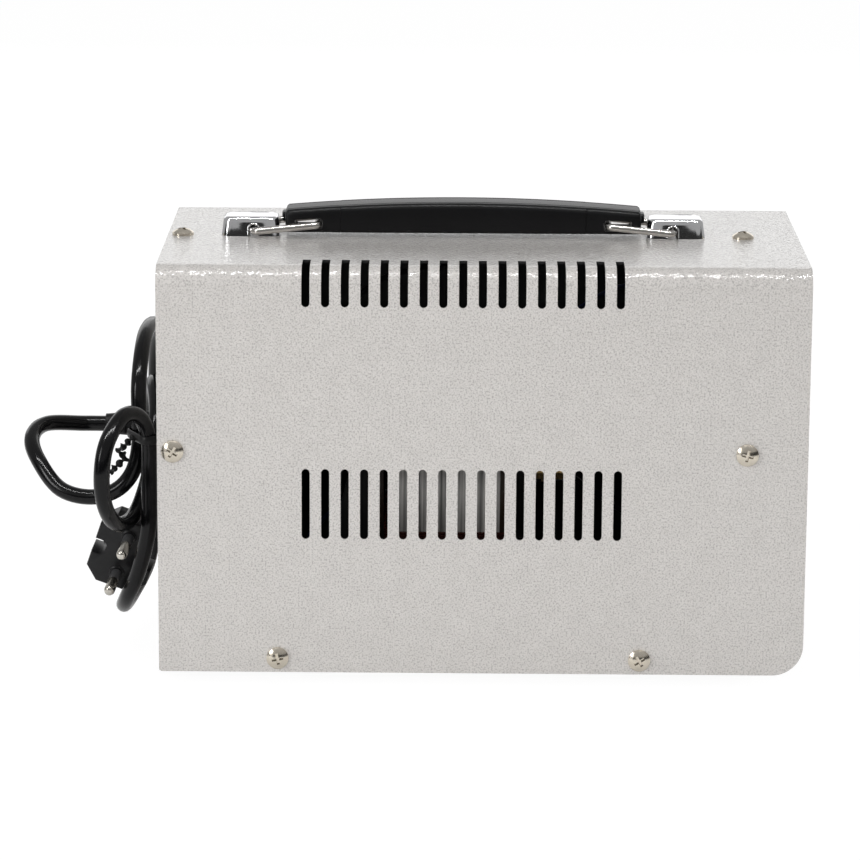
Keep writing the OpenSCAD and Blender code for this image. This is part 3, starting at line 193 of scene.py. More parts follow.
def round_wire(name, path, thickness):
    curve = bpy.data.curves.new(name, "CURVE")
    curve.dimensions = "3D"
    curve.bevel_depth = thickness / 2
    curve.bevel_resolution = 5
    curve.use_fill_caps = True
    spline = curve.splines.new("POLY")
    spline.points.add(len(path) - 1)
    for point, place in zip(spline.points, path):
        point.co = (*place, 1)
    spline.use_smooth = True
    wire = bpy.data.objects.new(name, curve)
    bpy.context.scene.collection.objects.link(wire)
    return wire


def two_shades(tree, mask, dark, light, dark_at, light_at):
    """A colour that runs from a dark shade to a light one as a texture rises."""
    shades = tree.nodes.new("ShaderNodeValToRGB")
    for element, colour, at in zip(shades.color_ramp.elements, (dark, light), (dark_at, light_at)):
        element.position = at
        element.color = (*colour, 1)
    tree.links.new(mask, shades.inputs["Fac"])
    return shades.outputs["Color"]


def gloss_and_relief(tree, mask, smoothest, roughest, height, depth):
    """Lets one texture vary the roughness and another raise the surface, by a depth in mm."""
    skin = tree.nodes["Principled BSDF"]
    gloss = tree.nodes.new("ShaderNodeMapRange")
    gloss.inputs["To Min"].default_value = smoothest
    gloss.inputs["To Max"].default_value = min(1, roughest)
    tree.links.new(mask, gloss.inputs["Value"])
    tree.links.new(gloss.outputs["Result"], skin.inputs["Roughness"])
    relief = tree.nodes.new("ShaderNodeBump")
    relief.inputs["Strength"].default_value = 1
    relief.inputs["Distance"].default_value = depth * mm
    tree.links.new(height, relief.inputs["Height"])
    tree.links.new(relief.outputs["Normal"], skin.inputs["Normal"])
    return relief


def moulded(name, colour, roughness, grain_mm, depth, tint=0.12, coat=0.0, shine=0.3):
    """A moulded plastic or rubber: a fine grain, faint cloudiness and uneven gloss."""
    material, tree, skin = new_material(name)
    skin.inputs["Specular IOR Level"].default_value = shine
    skin.inputs["Coat Weight"].default_value = coat
    skin.inputs["Coat Roughness"].default_value = 0.08
    place = tree.nodes.new("ShaderNodeTexCoord")
    grain = tree.nodes.new("ShaderNodeTexNoise")
    grain.inputs["Scale"].default_value = 1 / (grain_mm * mm)
    grain.inputs["Detail"].default_value = 4
    cloud = tree.nodes.new("ShaderNodeTexNoise")
    cloud.inputs["Scale"].default_value = 45
    cloud.inputs["Detail"].default_value = 3
    for noise in (grain, cloud):
        tree.links.new(place.outputs["Object"], noise.inputs["Vector"])
    shades = two_shades(tree, cloud.outputs["Fac"], [c * (1 - tint) for c in colour],
                        [min(1, c * (1 + tint)) for c in colour], 0.3, 0.7)
    tree.links.new(shades, skin.inputs["Base Color"])
    gloss_and_relief(tree, grain.outputs["Fac"], roughness * 0.85, roughness * 1.2,
                     grain.outputs["Fac"], depth)
    return material


lead_path = smooth_path(lead_route, 8)
lead = round_wire("mains_lead_sheath", lead_path, lead_thickness)
black_pvc = moulded("black_pvc", (0.003, 0.003, 0.0034), 0.16, 0.5, 0.009, shine=0.25)
lead.data.materials.append(black_pvc)
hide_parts("mains_lead")
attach(lead, "chassis")

# ---- Plug ----
# A two-pin earthed plug, moulded in one with the lead in hard black PVC. A flat head with cut
# corners and a notch in each long side, a grip behind it, and a slotted boot over the lead.
plug_wide = 28
plug_long = 34
plug_corner = 6
head_thick = 13
notch_deep = 6
notch_wide = 6.4
pin_spread = 19
pin_thickness = 4.8
pin_length = 19

plug_place = (Matrix.Translation(plug_face * mm) @ Matrix.Rotation(-plug_yaw, 4, "Z")
              @ Matrix.Rotation(plug_tilt, 4, "X") @ Matrix.Rotation(plug_roll, 4, "Y")
              @ Matrix.Scale(mm, 4))


def new_piece(name, shape, material, place=None, edge=0.0, smooth=35):
    """Makes an object of a bmesh, with its hard edges broken by a small bevel."""
    mesh = bpy.data.meshes.new(name)
    bmesh.ops.recalc_face_normals(shape, faces=shape.faces)
    shape.to_mesh(mesh)
    shape.free()
    if place is not None:
        mesh.transform(place)
    mesh.shade_smooth()
    mesh.set_sharp_from_angle(angle=radians(smooth))
    mesh.materials.append(material)
    piece = bpy.data.objects.new(name, mesh)
    bpy.context.scene.collection.objects.link(piece)
    if edge:
        break_edges(piece, edge, smooth)
    return piece


def break_edges(piece, edge, sharper_than=35):
    bevel = piece.modifiers.new("broken_edges", "BEVEL")
    bevel.width = edge * mm
    bevel.segments = 2
    bevel.limit_method = "ANGLE"
    bevel.angle_limit = radians(sharper_than)
    bevel.harden_normals = True


def loft(shape, rings):
    """Joins rings of points, each with as many points as the last, and closes both ends."""
    made = [[shape.verts.new(point) for point in ring] for ring in rings]
    for low, high in zip(made, made[1:]):
        for i in range(len(low)):
            j = (i + 1) % len(low)
            shape.faces.new((low[i], low[j], high[j], high[i]))
    shape.faces.new(made[0])
    shape.faces.new(list(reversed(made[-1])))


def soft_rectangle(wide, long, radius, per_corner=5):
    """Points of a rounded rectangle in a plane, its middle at the origin."""
    points = []
    for turn, (u, v) in enumerate(((1, 1), (-1, 1), (-1, -1), (1, -1))):
        for k in range(per_corner + 1):
            a = pi / 2 * (turn + k / per_corner)
            points.append((u * (wide / 2 - radius) + radius * cos(a),
                           v * (long / 2 - radius) + radius * sin(a)))
    return points


def circle(radius, spokes):
    """Points of a circle in a plane, its middle at the origin."""
    return [(radius * cos(2 * pi * k / spokes), radius * sin(2 * pi * k / spokes)) for k in range(spokes)]


def notched_outline(shrink=0.0):
    """The head's outline: cut corners, and a round-bottomed notch in each long side."""
    w = plug_wide / 2 - shrink
    h = plug_long / 2 - shrink
    c = plug_corner - shrink * 0.4
    r = notch_wide / 2 + shrink
    floor = plug_wide / 2 - notch_deep + notch_wide / 2
    right = [(w - c, -h), (w, -h + c), (w, -r)]
    right += [(floor - r * sin(pi * k / 8), -r * cos(pi * k / 8)) for k in range(9)]
    right += [(w, r), (w, h - c), (w - c, h)]
    return right + [(-x, -y) for x, y in right]


head = bmesh.new()
loft(head, [[(x, y, z) for x, z in notched_outline(shrink)] for y, shrink in (
    (0, 0.9), (0.35, 0.3), (1, 0), (head_thick - 1.6, 0), (head_thick - 0.5, 0.5), (head_thick, 1.5))])
loft(head, [[(x, y, z) for x, z in soft_rectangle(wide, long, radius)] for y, wide, long, radius in (
    (head_thick - 1, 21, 29, 5.5), (head_thick + 1.2, 19.6, 27.6, 5.5), (head_thick + 6, 18, 24.5, 6),
    (head_thick + 9, 15.8, 19, 6), (head_thick + 14, 14.6, 16.6, 6), (plug_length - 2, 14.2, 15.6, 6.4),
    (plug_length, 13.2, 14.2, 6.4))])
for n in range(4):
    rib = head_thick + 8.6 + 2.3 * n
    wide = 15.9 - 0.35 * n
    long = wide + 2.6 - 0.5 * n
    loft(head, [[(x, rib + step, z) for x, z in soft_rectangle(wide + grow, long + grow, 6)]
                for step, grow in ((-0.7, -0.6), (-0.3, 0.7), (0.3, 0.7), (0.7, -0.6))])
loft(head, [[(x, plug_length + y, z) for x, z in circle(across / 2, 20)] for y, across in (
    (-1.5, 12.2), (0, 12.6), (1.6, 12.5), (2.2, 10.4), (3.2, 10.4), (3.8, 11.9), (5.4, 11.6), (6, 9.8),
    (7, 9.8), (7.6, 10.9), (9.2, 10.6), (9.8, 9.2), (10.8, 9.2), (11.4, 9.9), (boot_length - 0.5, 9.3),
    (boot_length, 8.3))])
for side in (-1, 1):
    loft(head, [[(x, y, side * pin_spread / 2 + z) for x, z in circle(pin_thickness / 2 + grow, 20)]
                for y, grow in ((0.6, 1.3), (-0.5, 1.1), (-0.8, 0.7))])
hard_pvc = moulded("hard_black_pvc", (0.006, 0.006, 0.0065), 0.34, 0.35, 0.015, coat=0.1, shine=0.25)
plug = new_piece("plug_moulding", head, hard_pvc, plug_place, smooth=32)
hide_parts("plug_body")
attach(plug, "chassis")


def turned(shape, profile, height):
    """A turned part about a line along Y at a height, from (distance along -Y, radius) pairs."""
    loft(shape, [[(x, -along_pin, height + z) for x, z in circle(radius, 24)]
                 for along_pin, radius in profile])


def plated(name, colour, roughness, streak=(1, 1, 1), streak_mm=0.25, depth=0.004, spread=0.08,
           stained=False):
    """Plated or ground metal: fine streaks in the gloss and the surface, and in a stained colour."""
    material, tree, skin = new_material(name)
    skin.inputs["Metallic"].default_value = 1
    place = tree.nodes.new("ShaderNodeTexCoord")
    stretch = tree.nodes.new("ShaderNodeMapping")
    stretch.inputs["Scale"].default_value = streak
    tree.links.new(place.outputs["Object"], stretch.inputs["Vector"])
    lines = tree.nodes.new("ShaderNodeTexNoise")
    lines.inputs["Scale"].default_value = 1 / (streak_mm * mm)
    lines.inputs["Detail"].default_value = 3
    tree.links.new(stretch.outputs["Vector"], lines.inputs["Vector"])
    drift = tree.nodes.new("ShaderNodeTexNoise")
    drift.inputs["Scale"].default_value = 120
    tree.links.new(place.outputs["Object"], drift.inputs["Vector"])
    shades = two_shades(tree, (lines if stained else drift).outputs["Fac"],
                        [c * (1 - spread) for c in colour], [min(1, c * (1 + spread)) for c in colour],
                        0.35, 0.65)
    tree.links.new(shades, skin.inputs["Base Color"])
    gloss_and_relief(tree, lines.outputs["Fac"], roughness * 0.7, roughness * 1.4,
                     lines.outputs["Fac"], depth)
    return material


pins = bmesh.new()
sleeve_length = 8.5
for side in (-1, 1):
    turned(pins, ((-9, 1.6), (0, 2.1), (sleeve_length, 2.1), (sleeve_length + 0.1, pin_thickness / 2),
                  (pin_length - 1.8, pin_thickness / 2), (pin_length - 0.8, 2.0), (pin_length - 0.2, 1.3),
                  (pin_length, 0.5)), side * pin_spread / 2)
nickel = plated("nickel_plate", (0.66, 0.63, 0.57), 0.22)
plug_pins = new_piece("plug_pins_nickelled", pins, nickel, plug_place, smooth=40)
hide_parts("plug_pins")
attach(plug_pins, "chassis")

sleeves = bmesh.new()
sleeve_radius = pin_thickness / 2 - 0.02
for side in (-1, 1):
    turned(sleeves, ((-1, 2.15), (-0.9, sleeve_radius), (sleeve_length - 0.3, sleeve_radius),
                     (sleeve_length, 2.2)), side * pin_spread / 2)
# The sleeves are black plastic. Their dark grey colour, lighter than the plug, is a painted sheen.
sleeve_plastic_and_sheen = moulded("sleeve_plastic_and_sheen", (0.05, 0.05, 0.052), 0.28, 0.4, 0.01)
pin_sleeves = new_piece("pin_sleeves", sleeves, sleeve_plastic_and_sheen, plug_place, smooth=40)
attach(pin_sleeves, "chassis")

# ---- Twist tie ----
# A flat plastic strip with a wire in it, wrapped once round two strands of the lead. Its two
# ends are twisted together and stick out to the back.
tie_middle = Vector((-148.5, -43, 103))
tie_turn = radians(-63)
tie_long = 20.4
tie_wide = 8
tie_width = 4
tie_tail = [(-152.4, -45.2, 103), (-156, -47, 100), (-159, -46, 97), (-156, -48, 94), (-160, -50, 91),
            (-163, -49, 88)]
strip_offset = 0.28


def hoop(shape, rings):
    """Joins rings of points like a loft, but the last to the first, into a closed band."""
    made = [[shape.verts.new(point) for point in ring] for ring in rings]
    for low, high in zip(made, made[1:] + made[:1]):
        for i in range(len(low)):
            j = (i + 1) % len(low)
            shape.faces.new((low[i], low[j], high[j], high[i]))


strip = bmesh.new()
outer = soft_rectangle(tie_long + 1.1, tie_wide + 1.1, tie_wide / 2 + 0.54, 9)
inner = soft_rectangle(tie_long + 0.1, tie_wide + 0.1, tie_wide / 2 + 0.04, 9)
band = [[Vector((x, y, z)) for x, y in (outer if far else inner)]
        for z, far in ((-tie_width / 2, 0), (-tie_width / 2 + 0.3, 1), (-0.5, 1), (0.5, 1),
                       (tie_width / 2 - 0.3, 1), (tie_width / 2, 0))]
for rib in (2, 3):
    band[rib] = [Vector((p.x * 1.03, p.y * 1.06, p.z)) for p in band[rib]]
turn_tie = Matrix.Translation(tie_middle) @ Matrix.Rotation(tie_turn, 4, "Z")
hoop(strip, [[turn_tie @ point for point in ring] for ring in band])


def ribbon(shape, path, width, thickness, turns, start):
    """A flat strip twisted about a path, a part of its width beside it, with square ends."""
    rings = []
    side = Vector((0, 0, 1))
    for i, point in enumerate(path):
        way = (path[min(i + 1, len(path) - 1)] - path[max(i - 1, 0)]).normalized()
        side = (side - way * side.dot(way)).normalized()
        other = way.cross(side)
        a = start + 2 * pi * turns * i / (len(path) - 1)
        flat = side * cos(a) + other * sin(a)
        edge = other * cos(a) - side * sin(a)
        offset = flat * width * strip_offset
        rings.append([point + offset + flat * u * width / 2 + edge * v * thickness / 2
                      for u, v in ((1, 1), (-1, 1), (-1, -1), (1, -1))])
    loft(shape, rings)


tail_path = [point / mm for point in smooth_path(tie_tail, 12)]
for start in (0, pi):
    ribbon(strip, tail_path, 2.3, 0.6, 4, start)
for part in range(2):
    spread_ends = Vector((-1.6, 1.2 - 2.6 * part, -2.6 + 1.2 * part))
    end_path = [tail_path[-1] + spread_ends * k / 5 for k in range(6)]
    ribbon(strip, end_path, 2.4, 0.5, 0.3, part * 1.1)
tie_plastic = moulded("tie_plastic", (0.006, 0.006, 0.006), 0.35, 0.6, 0.03, shine=0.25)
tie = new_piece("twist_tie", strip, tie_plastic, Matrix.Scale(mm, 4), smooth=50)
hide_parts("lead_tie")
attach(tie, "chassis")

# ---- Strain relief ----
# A tapered rubber boot with slots across it, that grips the lead and locks in the back panel.
relief_rubber = moulded("relief_rubber", (0.007, 0.007, 0.0075), 0.42, 0.4, 0.02, shine=0.2)


def finish_node(node, material, edge=0.0, sharper_than=35):
    """Gives a solid its material, smooth round faces and broken edges."""
    part = nodes[node]
    part.data.materials.clear()
    part.data.materials.append(material)
    part.data.shade_smooth()
    part.data.set_sharp_from_angle(angle=radians(sharper_than))
    if edge:
        break_edges(part, edge, sharper_than)


finish_node("strain_relief", relief_rubber, 0.3)

# ---- Cover ----
# One steel sheet, 1.2 mm thick, bent over the top and both sides, with punched slots. It is
# sprayed with light grey hammertone enamel: small soft dimples with finer dark veins.
enamel_light = (0.585, 0.563, 0.542)
enamel_dark = (0.37, 0.356, 0.342)
dimple_mm = 1.5
dimple_depth = 0.19
vein_mm = 0.75


def hammertone(name):
    """Enamel that dries into dimples: two textures give the veins and the dimples, a third the clouds."""
    material, tree, skin = new_material(name)
    skin.inputs["Specular IOR Level"].default_value = 0.12
    skin.inputs["Coat Weight"].default_value = 1
    skin.inputs["Coat Roughness"].default_value = 0.03
    place = tree.nodes.new("ShaderNodeTexCoord")
    vein = tree.nodes.new("ShaderNodeTexNoise")
    vein.inputs["Scale"].default_value = 1 / (vein_mm * mm)
    vein.inputs["Detail"].default_value = 3
    vein.inputs["Roughness"].default_value = 0.6
    cloud = tree.nodes.new("ShaderNodeTexNoise")
    cloud.inputs["Scale"].default_value = 130
    cloud.inputs["Detail"].default_value = 2
    dimple = tree.nodes.new("ShaderNodeTexVoronoi")
    dimple.feature = "SMOOTH_F1"
    dimple.inputs["Scale"].default_value = 1 / (dimple_mm * mm)
    dimple.inputs["Smoothness"].default_value = 0.6
    for texture in (vein, cloud, dimple):
        tree.links.new(place.outputs["Object"], texture.inputs["Vector"])
    veined = two_shades(tree, vein.outputs["Fac"], enamel_dark, enamel_light, 0.36, 0.52)
    patches = tree.nodes.new("ShaderNodeMapRange")
    patches.inputs["From Min"].default_value = 0.3
    patches.inputs["From Max"].default_value = 0.7
    patches.inputs["To Min"].default_value = 0.965
    patches.inputs["To Max"].default_value = 1.02
    tree.links.new(cloud.outputs["Fac"], patches.inputs["Value"])
    shade = tree.nodes.new("ShaderNodeVectorMath")
    shade.operation = "SCALE"
    tree.links.new(veined, shade.inputs[0])
    tree.links.new(patches.outputs["Result"], shade.inputs["Scale"])
    tree.links.new(shade.outputs["Vector"], skin.inputs["Base Color"])
    heights = tree.nodes.new("ShaderNodeMath")
    heights.operation = "MULTIPLY_ADD"
    heights.inputs[1].default_value = 0.35
    tree.links.new(vein.outputs["Fac"], heights.inputs[0])
    tree.links.new(dimple.outputs["Distance"], heights.inputs[2])
    relief = gloss_and_relief(tree, vein.outputs["Fac"], 0.30, 0.46,
                              heights.outputs["Value"], dimple_depth)
    tree.links.new(relief.outputs["Normal"], skin.inputs["Coat Normal"])
    return material


enamel = hammertone("hammertone_enamel")
finish_node("cover", enamel, 0.25)

cover_low, cover_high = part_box("cover")
front_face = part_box("front_panel")[1].x
bend_radius = 9 * mm
enamel_skin = 0.12 * mm
enamelled_rim = 1 * mm
# The inner faces of the cover and the walls of its slots get a near-black painted shade, so the inside
# looks dark through the slots. Only the inside of the lip in front of the front panel keeps a light
# enamel grey.
dark_inside = 0.012
shade_inside, shade_nodes, shade_inside_skin = new_material("painted_shade_inside")
shade_inside_skin.inputs["Roughness"].default_value = 0.7
where = shade_nodes.nodes.new("ShaderNodeTexCoord")
shade_mottle = shade_nodes.nodes.new("ShaderNodeTexNoise")
shade_mottle.inputs["Scale"].default_value = 700
split = shade_nodes.nodes.new("ShaderNodeSeparateXYZ")
edge_line = shade_nodes.nodes.new("ShaderNodeMath")
edge_line.operation = "GREATER_THAN"
edge_line.inputs[1].default_value = front_face
inside = shade_nodes.nodes.new("ShaderNodeMapRange")
inside.inputs["To Min"].default_value = dark_inside * 0.7
inside.inputs["To Max"].default_value = dark_inside * 1.3
reach = shade_nodes.nodes.new("ShaderNodeMapRange")
reach.inputs["To Max"].default_value = enamel_light[0] * 0.9
shade_nodes.links.new(where.outputs["Object"], shade_mottle.inputs["Vector"])
shade_nodes.links.new(where.outputs["Object"], split.inputs["Vector"])
shade_nodes.links.new(split.outputs["X"], edge_line.inputs[0])
shade_nodes.links.new(shade_mottle.outputs["Fac"], inside.inputs["Value"])
shade_nodes.links.new(edge_line.outputs["Value"], reach.inputs["Value"])
shade_nodes.links.new(inside.outputs["Result"], reach.inputs["To Min"])
shade_nodes.links.new(reach.outputs["Result"], shade_inside_skin.inputs["Base Color"])
cover = nodes["cover"]
cover.data.materials.append(shade_inside)
bend_y, bend_z = cover_high.y - bend_radius, cover_high.z - bend_radius
# Faces deeper than the enamel skin and away from the rims take the painted shade.
for face in cover.data.polygons:
    x, y, z = face.center
    round_part = abs(y) > bend_y and z > bend_z
    skin_off = bend_radius - (Vector((abs(y) - bend_y, z - bend_z)).length if round_part
                              else bend_radius - min(cover_high.y - abs(y), cover_high.z - z))
    rim = min(x - cover_low.x, cover_high.x - x, z - cover_low.z)
    if skin_off > enamel_skin and rim > enamelled_rim:
        face.material_index = 1

# ---- Panels and base ----
# The front and back panels and the base plate are bent from the same sheet, with flanges that
# carry the case screws, and are sprayed with the same enamel.
for panel in ("front_panel", "back_panel", "base_plate"):
    finish_node(panel, enamel, 0.25)

# ---- Case screws ----
# Nickel-plated cross-head pan screws hold the cover. The smaller ones below are zinc-plated.
warm_nickel = plated("warm_nickel", (0.72, 0.66, 0.56), 0.2, streak_mm=0.7, depth=0.003)
zinc = plated("zinc_plate", (0.50, 0.51, 0.53), 0.34, streak_mm=0.4, depth=0.008)
finish_node("cover_screws", warm_nickel, 0.12, 40)
for fastener in ("panel_screws", "foot_screws", "handle_screws", "bracket_screws", "clamp_bolts"):
    finish_node(fastener, zinc, 0.1, 40)

# ---- Carry handle ----
# Two brackets pressed from chrome-plated sheet, two bent wire bails that turn in their arches,
# and a moulded grip whose end slots let the bails slide as the grip lifts.
chrome = plated("chrome_plate", (0.80, 0.80, 0.81), 0.07, streak_mm=2.5, depth=0.01, spread=0.03)
bracket_sheet = 1.2
arch_size = (5, 5.6)
arch_lip = 0.45
pivot_shift = 1.2 * mm


def cut_with(piece, rings):
    """Takes the solid that the rings enclose out of a piece."""
    tool = bmesh.new()
    loft(tool, rings)
    bmesh.ops.recalc_face_normals(tool, faces=tool.faces)
    mesh = bpy.data.meshes.new("cutter")
    tool.to_mesh(mesh)
    tool.free()
    cutter = bpy.data.objects.new("cutter", mesh)
    bpy.context.scene.collection.objects.link(cutter)
    cut = piece.modifiers.new("cut", "BOOLEAN")
    cut.operation = "DIFFERENCE"
    cut.solver = "EXACT"
    cut.object = cutter
    bpy.context.view_layer.update()
    seen_now = bpy.context.evaluated_depsgraph_get()
    rest = bpy.data.meshes.new_from_object(piece.evaluated_get(seen_now))
    piece.modifiers.remove(cut)
    piece.data = rest
    bpy.data.objects.remove(cutter)


def smooth_again(piece, sharper_than):
    piece.data.shade_smooth()
    piece.data.set_sharp_from_angle(angle=radians(sharper_than))


bracket_low, bracket_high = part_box("handle_brackets")
bracket_long = 26.4
bracket_wide = (bracket_high.y - bracket_low.y) / mm
bracket_tall = (bracket_high.z - bracket_low.z) / mm
handle_middle = (bracket_high.y + bracket_low.y) / 2
bracket_walls = ((0, 0), (6.6, 0.9), (7.4, 1.1), (8.0, 1.5), (8.35, 2.1), (8.5, 2.9))
for end, outward in ((bracket_low.x, -1), (bracket_high.x, 1)):
    middle_x = end - outward * bracket_long / 2 * mm
    shell = bmesh.new()
    layers = [(z, inset, bracket_sheet) for z, inset in reversed(bracket_walls[:-2])]
    layers += [(z, inset, 0) for z, inset in bracket_walls]
    stretch = bracket_tall / bracket_walls[-1][0]
    loft(shell, [[(middle_x + x * mm, handle_middle + y * mm,
                   bracket_low.z + (z - (sheet_in if z > 1 else 0)) * mm * stretch)
                  for x, y in soft_rectangle(bracket_long - 2 * inset - 2 * sheet_in,
                                             bracket_wide - 2 * inset - 2 * sheet_in, 4 - sheet_in)]
                 for z, inset, sheet_in in layers])
    bracket_name = "handle_bracket_" + ("back" if outward < 0 else "front")
    bracket = new_piece(bracket_name, shell, chrome, smooth=50)
    arch_x = middle_x - outward * pivot_shift
    arch_radius = arch_size[0] / 2
    arch = [(-arch_radius, -1)]
    arch += [(-arch_radius * cos(a), arch_size[1] - arch_radius + arch_radius * sin(a))
             for a in (pi * k / 12 for k in range(13))]
    arch += [(arch_radius, -1)]
    cut_with(bracket, [[(arch_x + x * mm, y, bracket_low.z + z * mm) for x, z in arch]
                       for y in (-0.03, 0.03)])
    smooth_again(bracket, 50)
    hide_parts("handle_brackets")
    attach(bracket, "chassis")
    for y_side in (-1, 1):
        wall = [(arch_x + x * mm,
                 handle_middle + y_side * (bracket_wide / 2 - 0.8 * z / arch_size[1] - 0.25) * mm,
                 bracket_low.z + max(z, 0.5) * mm) for x, z in arch]
        lip = round_wire("arch_lip", wall, 2 * arch_lip * mm)
        lip.data.materials.append(chrome)
        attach(lip, "chassis")

bail_nickel = plated("bail_nickel", (0.62, 0.60, 0.57), 0.16, streak_mm=0.6, depth=0.008)
for bail in ("bail_back", "bail_front"):
    finish_node(bail, bail_nickel)

grip_low, grip_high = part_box("grip")
grip_middle = (grip_low.x + grip_high.x) / 2
grip_half = 78.8 * mm
stub_reach = 1.6 * mm
grip_half_width = (grip_high.y - grip_low.y) / 2
grip_rise = 3.5 * mm
end_block_from = 54.3 * mm
end_block_inset = 0.35 * mm
slot_middle = 68.46 * mm
slot_size = (12.4 * mm, 4.8 * mm)
slot_height = 4.03 * mm
stub_height = 6.4


def grip_section(at, shrink=0.0):
    """The grip's outline across, with a groove along each edge of the crowned top."""
    half = grip_half_width - shrink - (end_block_inset if abs(at) > end_block_from else 0)
    low = grip_low.z + shrink
    high = grip_high.z - grip_rise * (at / grip_half) ** 2 - shrink
    edge = 2.5 * mm
    points = []
    for turn, corner in ((0, (half - edge, high - edge)), (1, (-half + edge, high - edge)),
                         (2, (-half + edge, low + edge)), (3, (half - edge, low + edge))):
        points += [(corner[0] + edge * cos(a), corner[1] + edge * sin(a))
                   for a in (pi / 2 * (turn + k / 5) for k in range(6))]
        if turn == 0:
            for y, deep in ((6.6, 0), (6.3, 0.55), (5.7, 0.55), (5.4, 0), (2, -0.12), (-2, -0.12),
                            (-5.4, 0), (-5.7, 0.55), (-6.3, 0.55), (-6.6, 0)):
                points.append((y * mm * half / grip_half_width, high - deep * mm))
    return [(grip_middle + at, handle_middle + y, z) for y, z in points]


handle_shape = bmesh.new()
stations = [(-grip_half, 1.2 * mm), (-grip_half + 0.4 * mm, 0.45 * mm), (-grip_half + 1.2 * mm, 0)]
stations += [(-grip_half * (1 - k / 16), 0) for k in range(1, 5)]
stations += [(-end_block_from - 0.15 * mm, 0), (-end_block_from + 0.15 * mm, 0)]
stations += [(-grip_half * (1 - k / 16), 0) for k in range(5, 16)]
stations += [(0, 0)] + [(-at, shrink) for at, shrink in reversed(stations)]
loft(handle_shape, [grip_section(at, shrink) for at, shrink in stations])
grip_black = moulded("grip_black", (0.005, 0.005, 0.0055), 0.34, 0.28, 0.03, shine=0.2)
grip = new_piece("grip_moulding", handle_shape, grip_black, smooth=40)
for side in (-1, 1):
    cut_with(grip, [[(grip_middle + side * slot_middle + x, y, grip_low.z + slot_height + z)
                     for x, z in soft_rectangle(*slot_size, 1.2 * mm)] for y in (-0.03, 0.03)])
smooth_again(grip, 40)
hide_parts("grip")
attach(grip, "handle_grip")

stub_shape = bmesh.new()
for side in (-1, 1):
    stub = [[(grip_middle + side * (grip_half + reach), handle_middle + y * mm * grow,
              grip_low.z + stub_height * mm + z * mm * grow)
             for y, z in soft_rectangle(9, 4.2, 1.4)]
            for reach, grow in ((-1 * mm, 1), (stub_reach - 0.5 * mm, 1), (stub_reach, 0.84))]
    loft(stub_shape, stub)
grip_stubs = new_piece("grip_stubs", stub_shape, grip_black, smooth=40)
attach(grip_stubs, "handle_grip")

# ---- Feet ----
# Four moulded rubber feet, each held by a screw up its middle.
foot_rubber = moulded("foot_rubber", (0.03, 0.03, 0.03), 0.6, 0.4, 0.05)
finish_node("feet", foot_rubber, 0.4)

# ---- Core ----
# A ring wound from steel strip, bare in the gap of the winding, with an insulating ring at
# each end. The rolled strip and its varnish leave streaks round the ring.
shaft_height = 86 * mm
core_middle = -14 * mm
gap_angle = 180
gap_turn = 46

core_steel = plated("rolled_steel", (0.50, 0.485, 0.465), 0.5, streak=(1, 0.01, 0.01), streak_mm=1.1,
                    depth=0.05, spread=0.7, stained=True)
core_steel.node_tree.nodes["Principled BSDF"].inputs["Metallic"].default_value = 0.05
finish_node("core", core_steel, 0.4)
fibre = moulded("varnished_fibre", (0.025, 0.016, 0.010), 0.4, 0.6, 0.05, tint=0.2)
for ring in ("core_insulators", "rear_seat"):
    finish_node(ring, fibre, 0.3)

# ---- Winding ----
# 230 turns of thick enamelled copper wire in one layer outside, crowded into three layers in
# the bore. A ring on the front end is ground bare and flat, and the brush runs on it.
turn_count = 230
layer_count = 3
layer_step = 1.2
magnet_wire = 1.3
wound_from = -43
wound_to = 15
inner_radius = 26
outer_radius = 59
track_from = 41.5
track_to = 52.5
ground_off = 0.4

coil = bmesh.new()
half_wire = magnet_wire / 2
sides = 6
for n in range(turn_count):
    angle = radians(gap_angle + gap_turn / 2 + (360 - gap_turn) * (n + 0.5) / turn_count)
    sink = n % layer_count * layer_step
    bore = inner_radius + half_wire + sink
    front = wound_to - half_wire
    back = wound_from + half_wire
    skin_radius = outer_radius - half_wire
    route = [(front - 1.3, skin_radius - 1.4), (front - 0.1, skin_radius - 3.8), (front, track_to),
             (front, 47), (front, track_from), (front - sink * 0.6, 36),
             (front - sink, 31.5 + sink * 0.3), (front - 1.2 - sink, bore + 1.2),
             (front - 3.4 - sink, bore), (core_middle / mm, bore)]
    route += [(back + front - x, r) for x, r in reversed(route[:-1])]
    route += [(back + 3.6, skin_radius), (core_middle / mm, skin_radius), (front - 3.6, skin_radius)]
    rings = []
    count = len(route)
    outward = (cos(angle), sin(angle))
    across = Vector((0, -outward[1], outward[0]))
    for i, (x, r) in enumerate(route):
        before, after = route[i - 1], route[(i + 1) % count]
        way = Vector((after[0] - before[0], after[1] - before[1])).normalized()
        ring = []
        for k in range(sides):
            a = 2 * pi * (k + 0.5) / sides
            u = half_wire * cos(a)
            v = half_wire * sin(a)
            px = x - way.y * u
            pr = r + way.x * u
            if track_from < pr < track_to and px > wound_to - ground_off:
                px = wound_to - ground_off
            point = Vector((px, pr * outward[0], pr * outward[1] + shaft_height / mm)) + across * v
            ring.append(coil.verts.new(point * mm))
        rings.append(ring)
    for i in range(count):
        low, high = rings[i], rings[(i + 1) % count]
        on_track = 2 <= i <= 3
        for k in range(sides):
            j = (k + 1) % sides
            face = coil.faces.new((low[k], low[j], high[j], high[k]))
            bare = on_track and min(p.co.x for p in face.verts) > (wound_to - 0.9) * mm
            face.material_index = 1 if bare else 0
magnet_enamel = plated("enamelled_copper", (0.075, 0.016, 0.009), 0.25, streak_mm=2, depth=0.02)
for socket, value in (("Metallic", 0.55), ("Coat Weight", 0.5)):
    magnet_enamel.node_tree.nodes["Principled BSDF"].inputs[socket].default_value = value
bare_copper = plated("bare_copper", (0.78, 0.36, 0.20), 0.3, streak_mm=0.3, depth=0.01)
winding = new_piece("copper_turns", coil, magnet_enamel, smooth=70)
winding.data.materials.append(bare_copper)
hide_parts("winding")
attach(winding, "chassis")

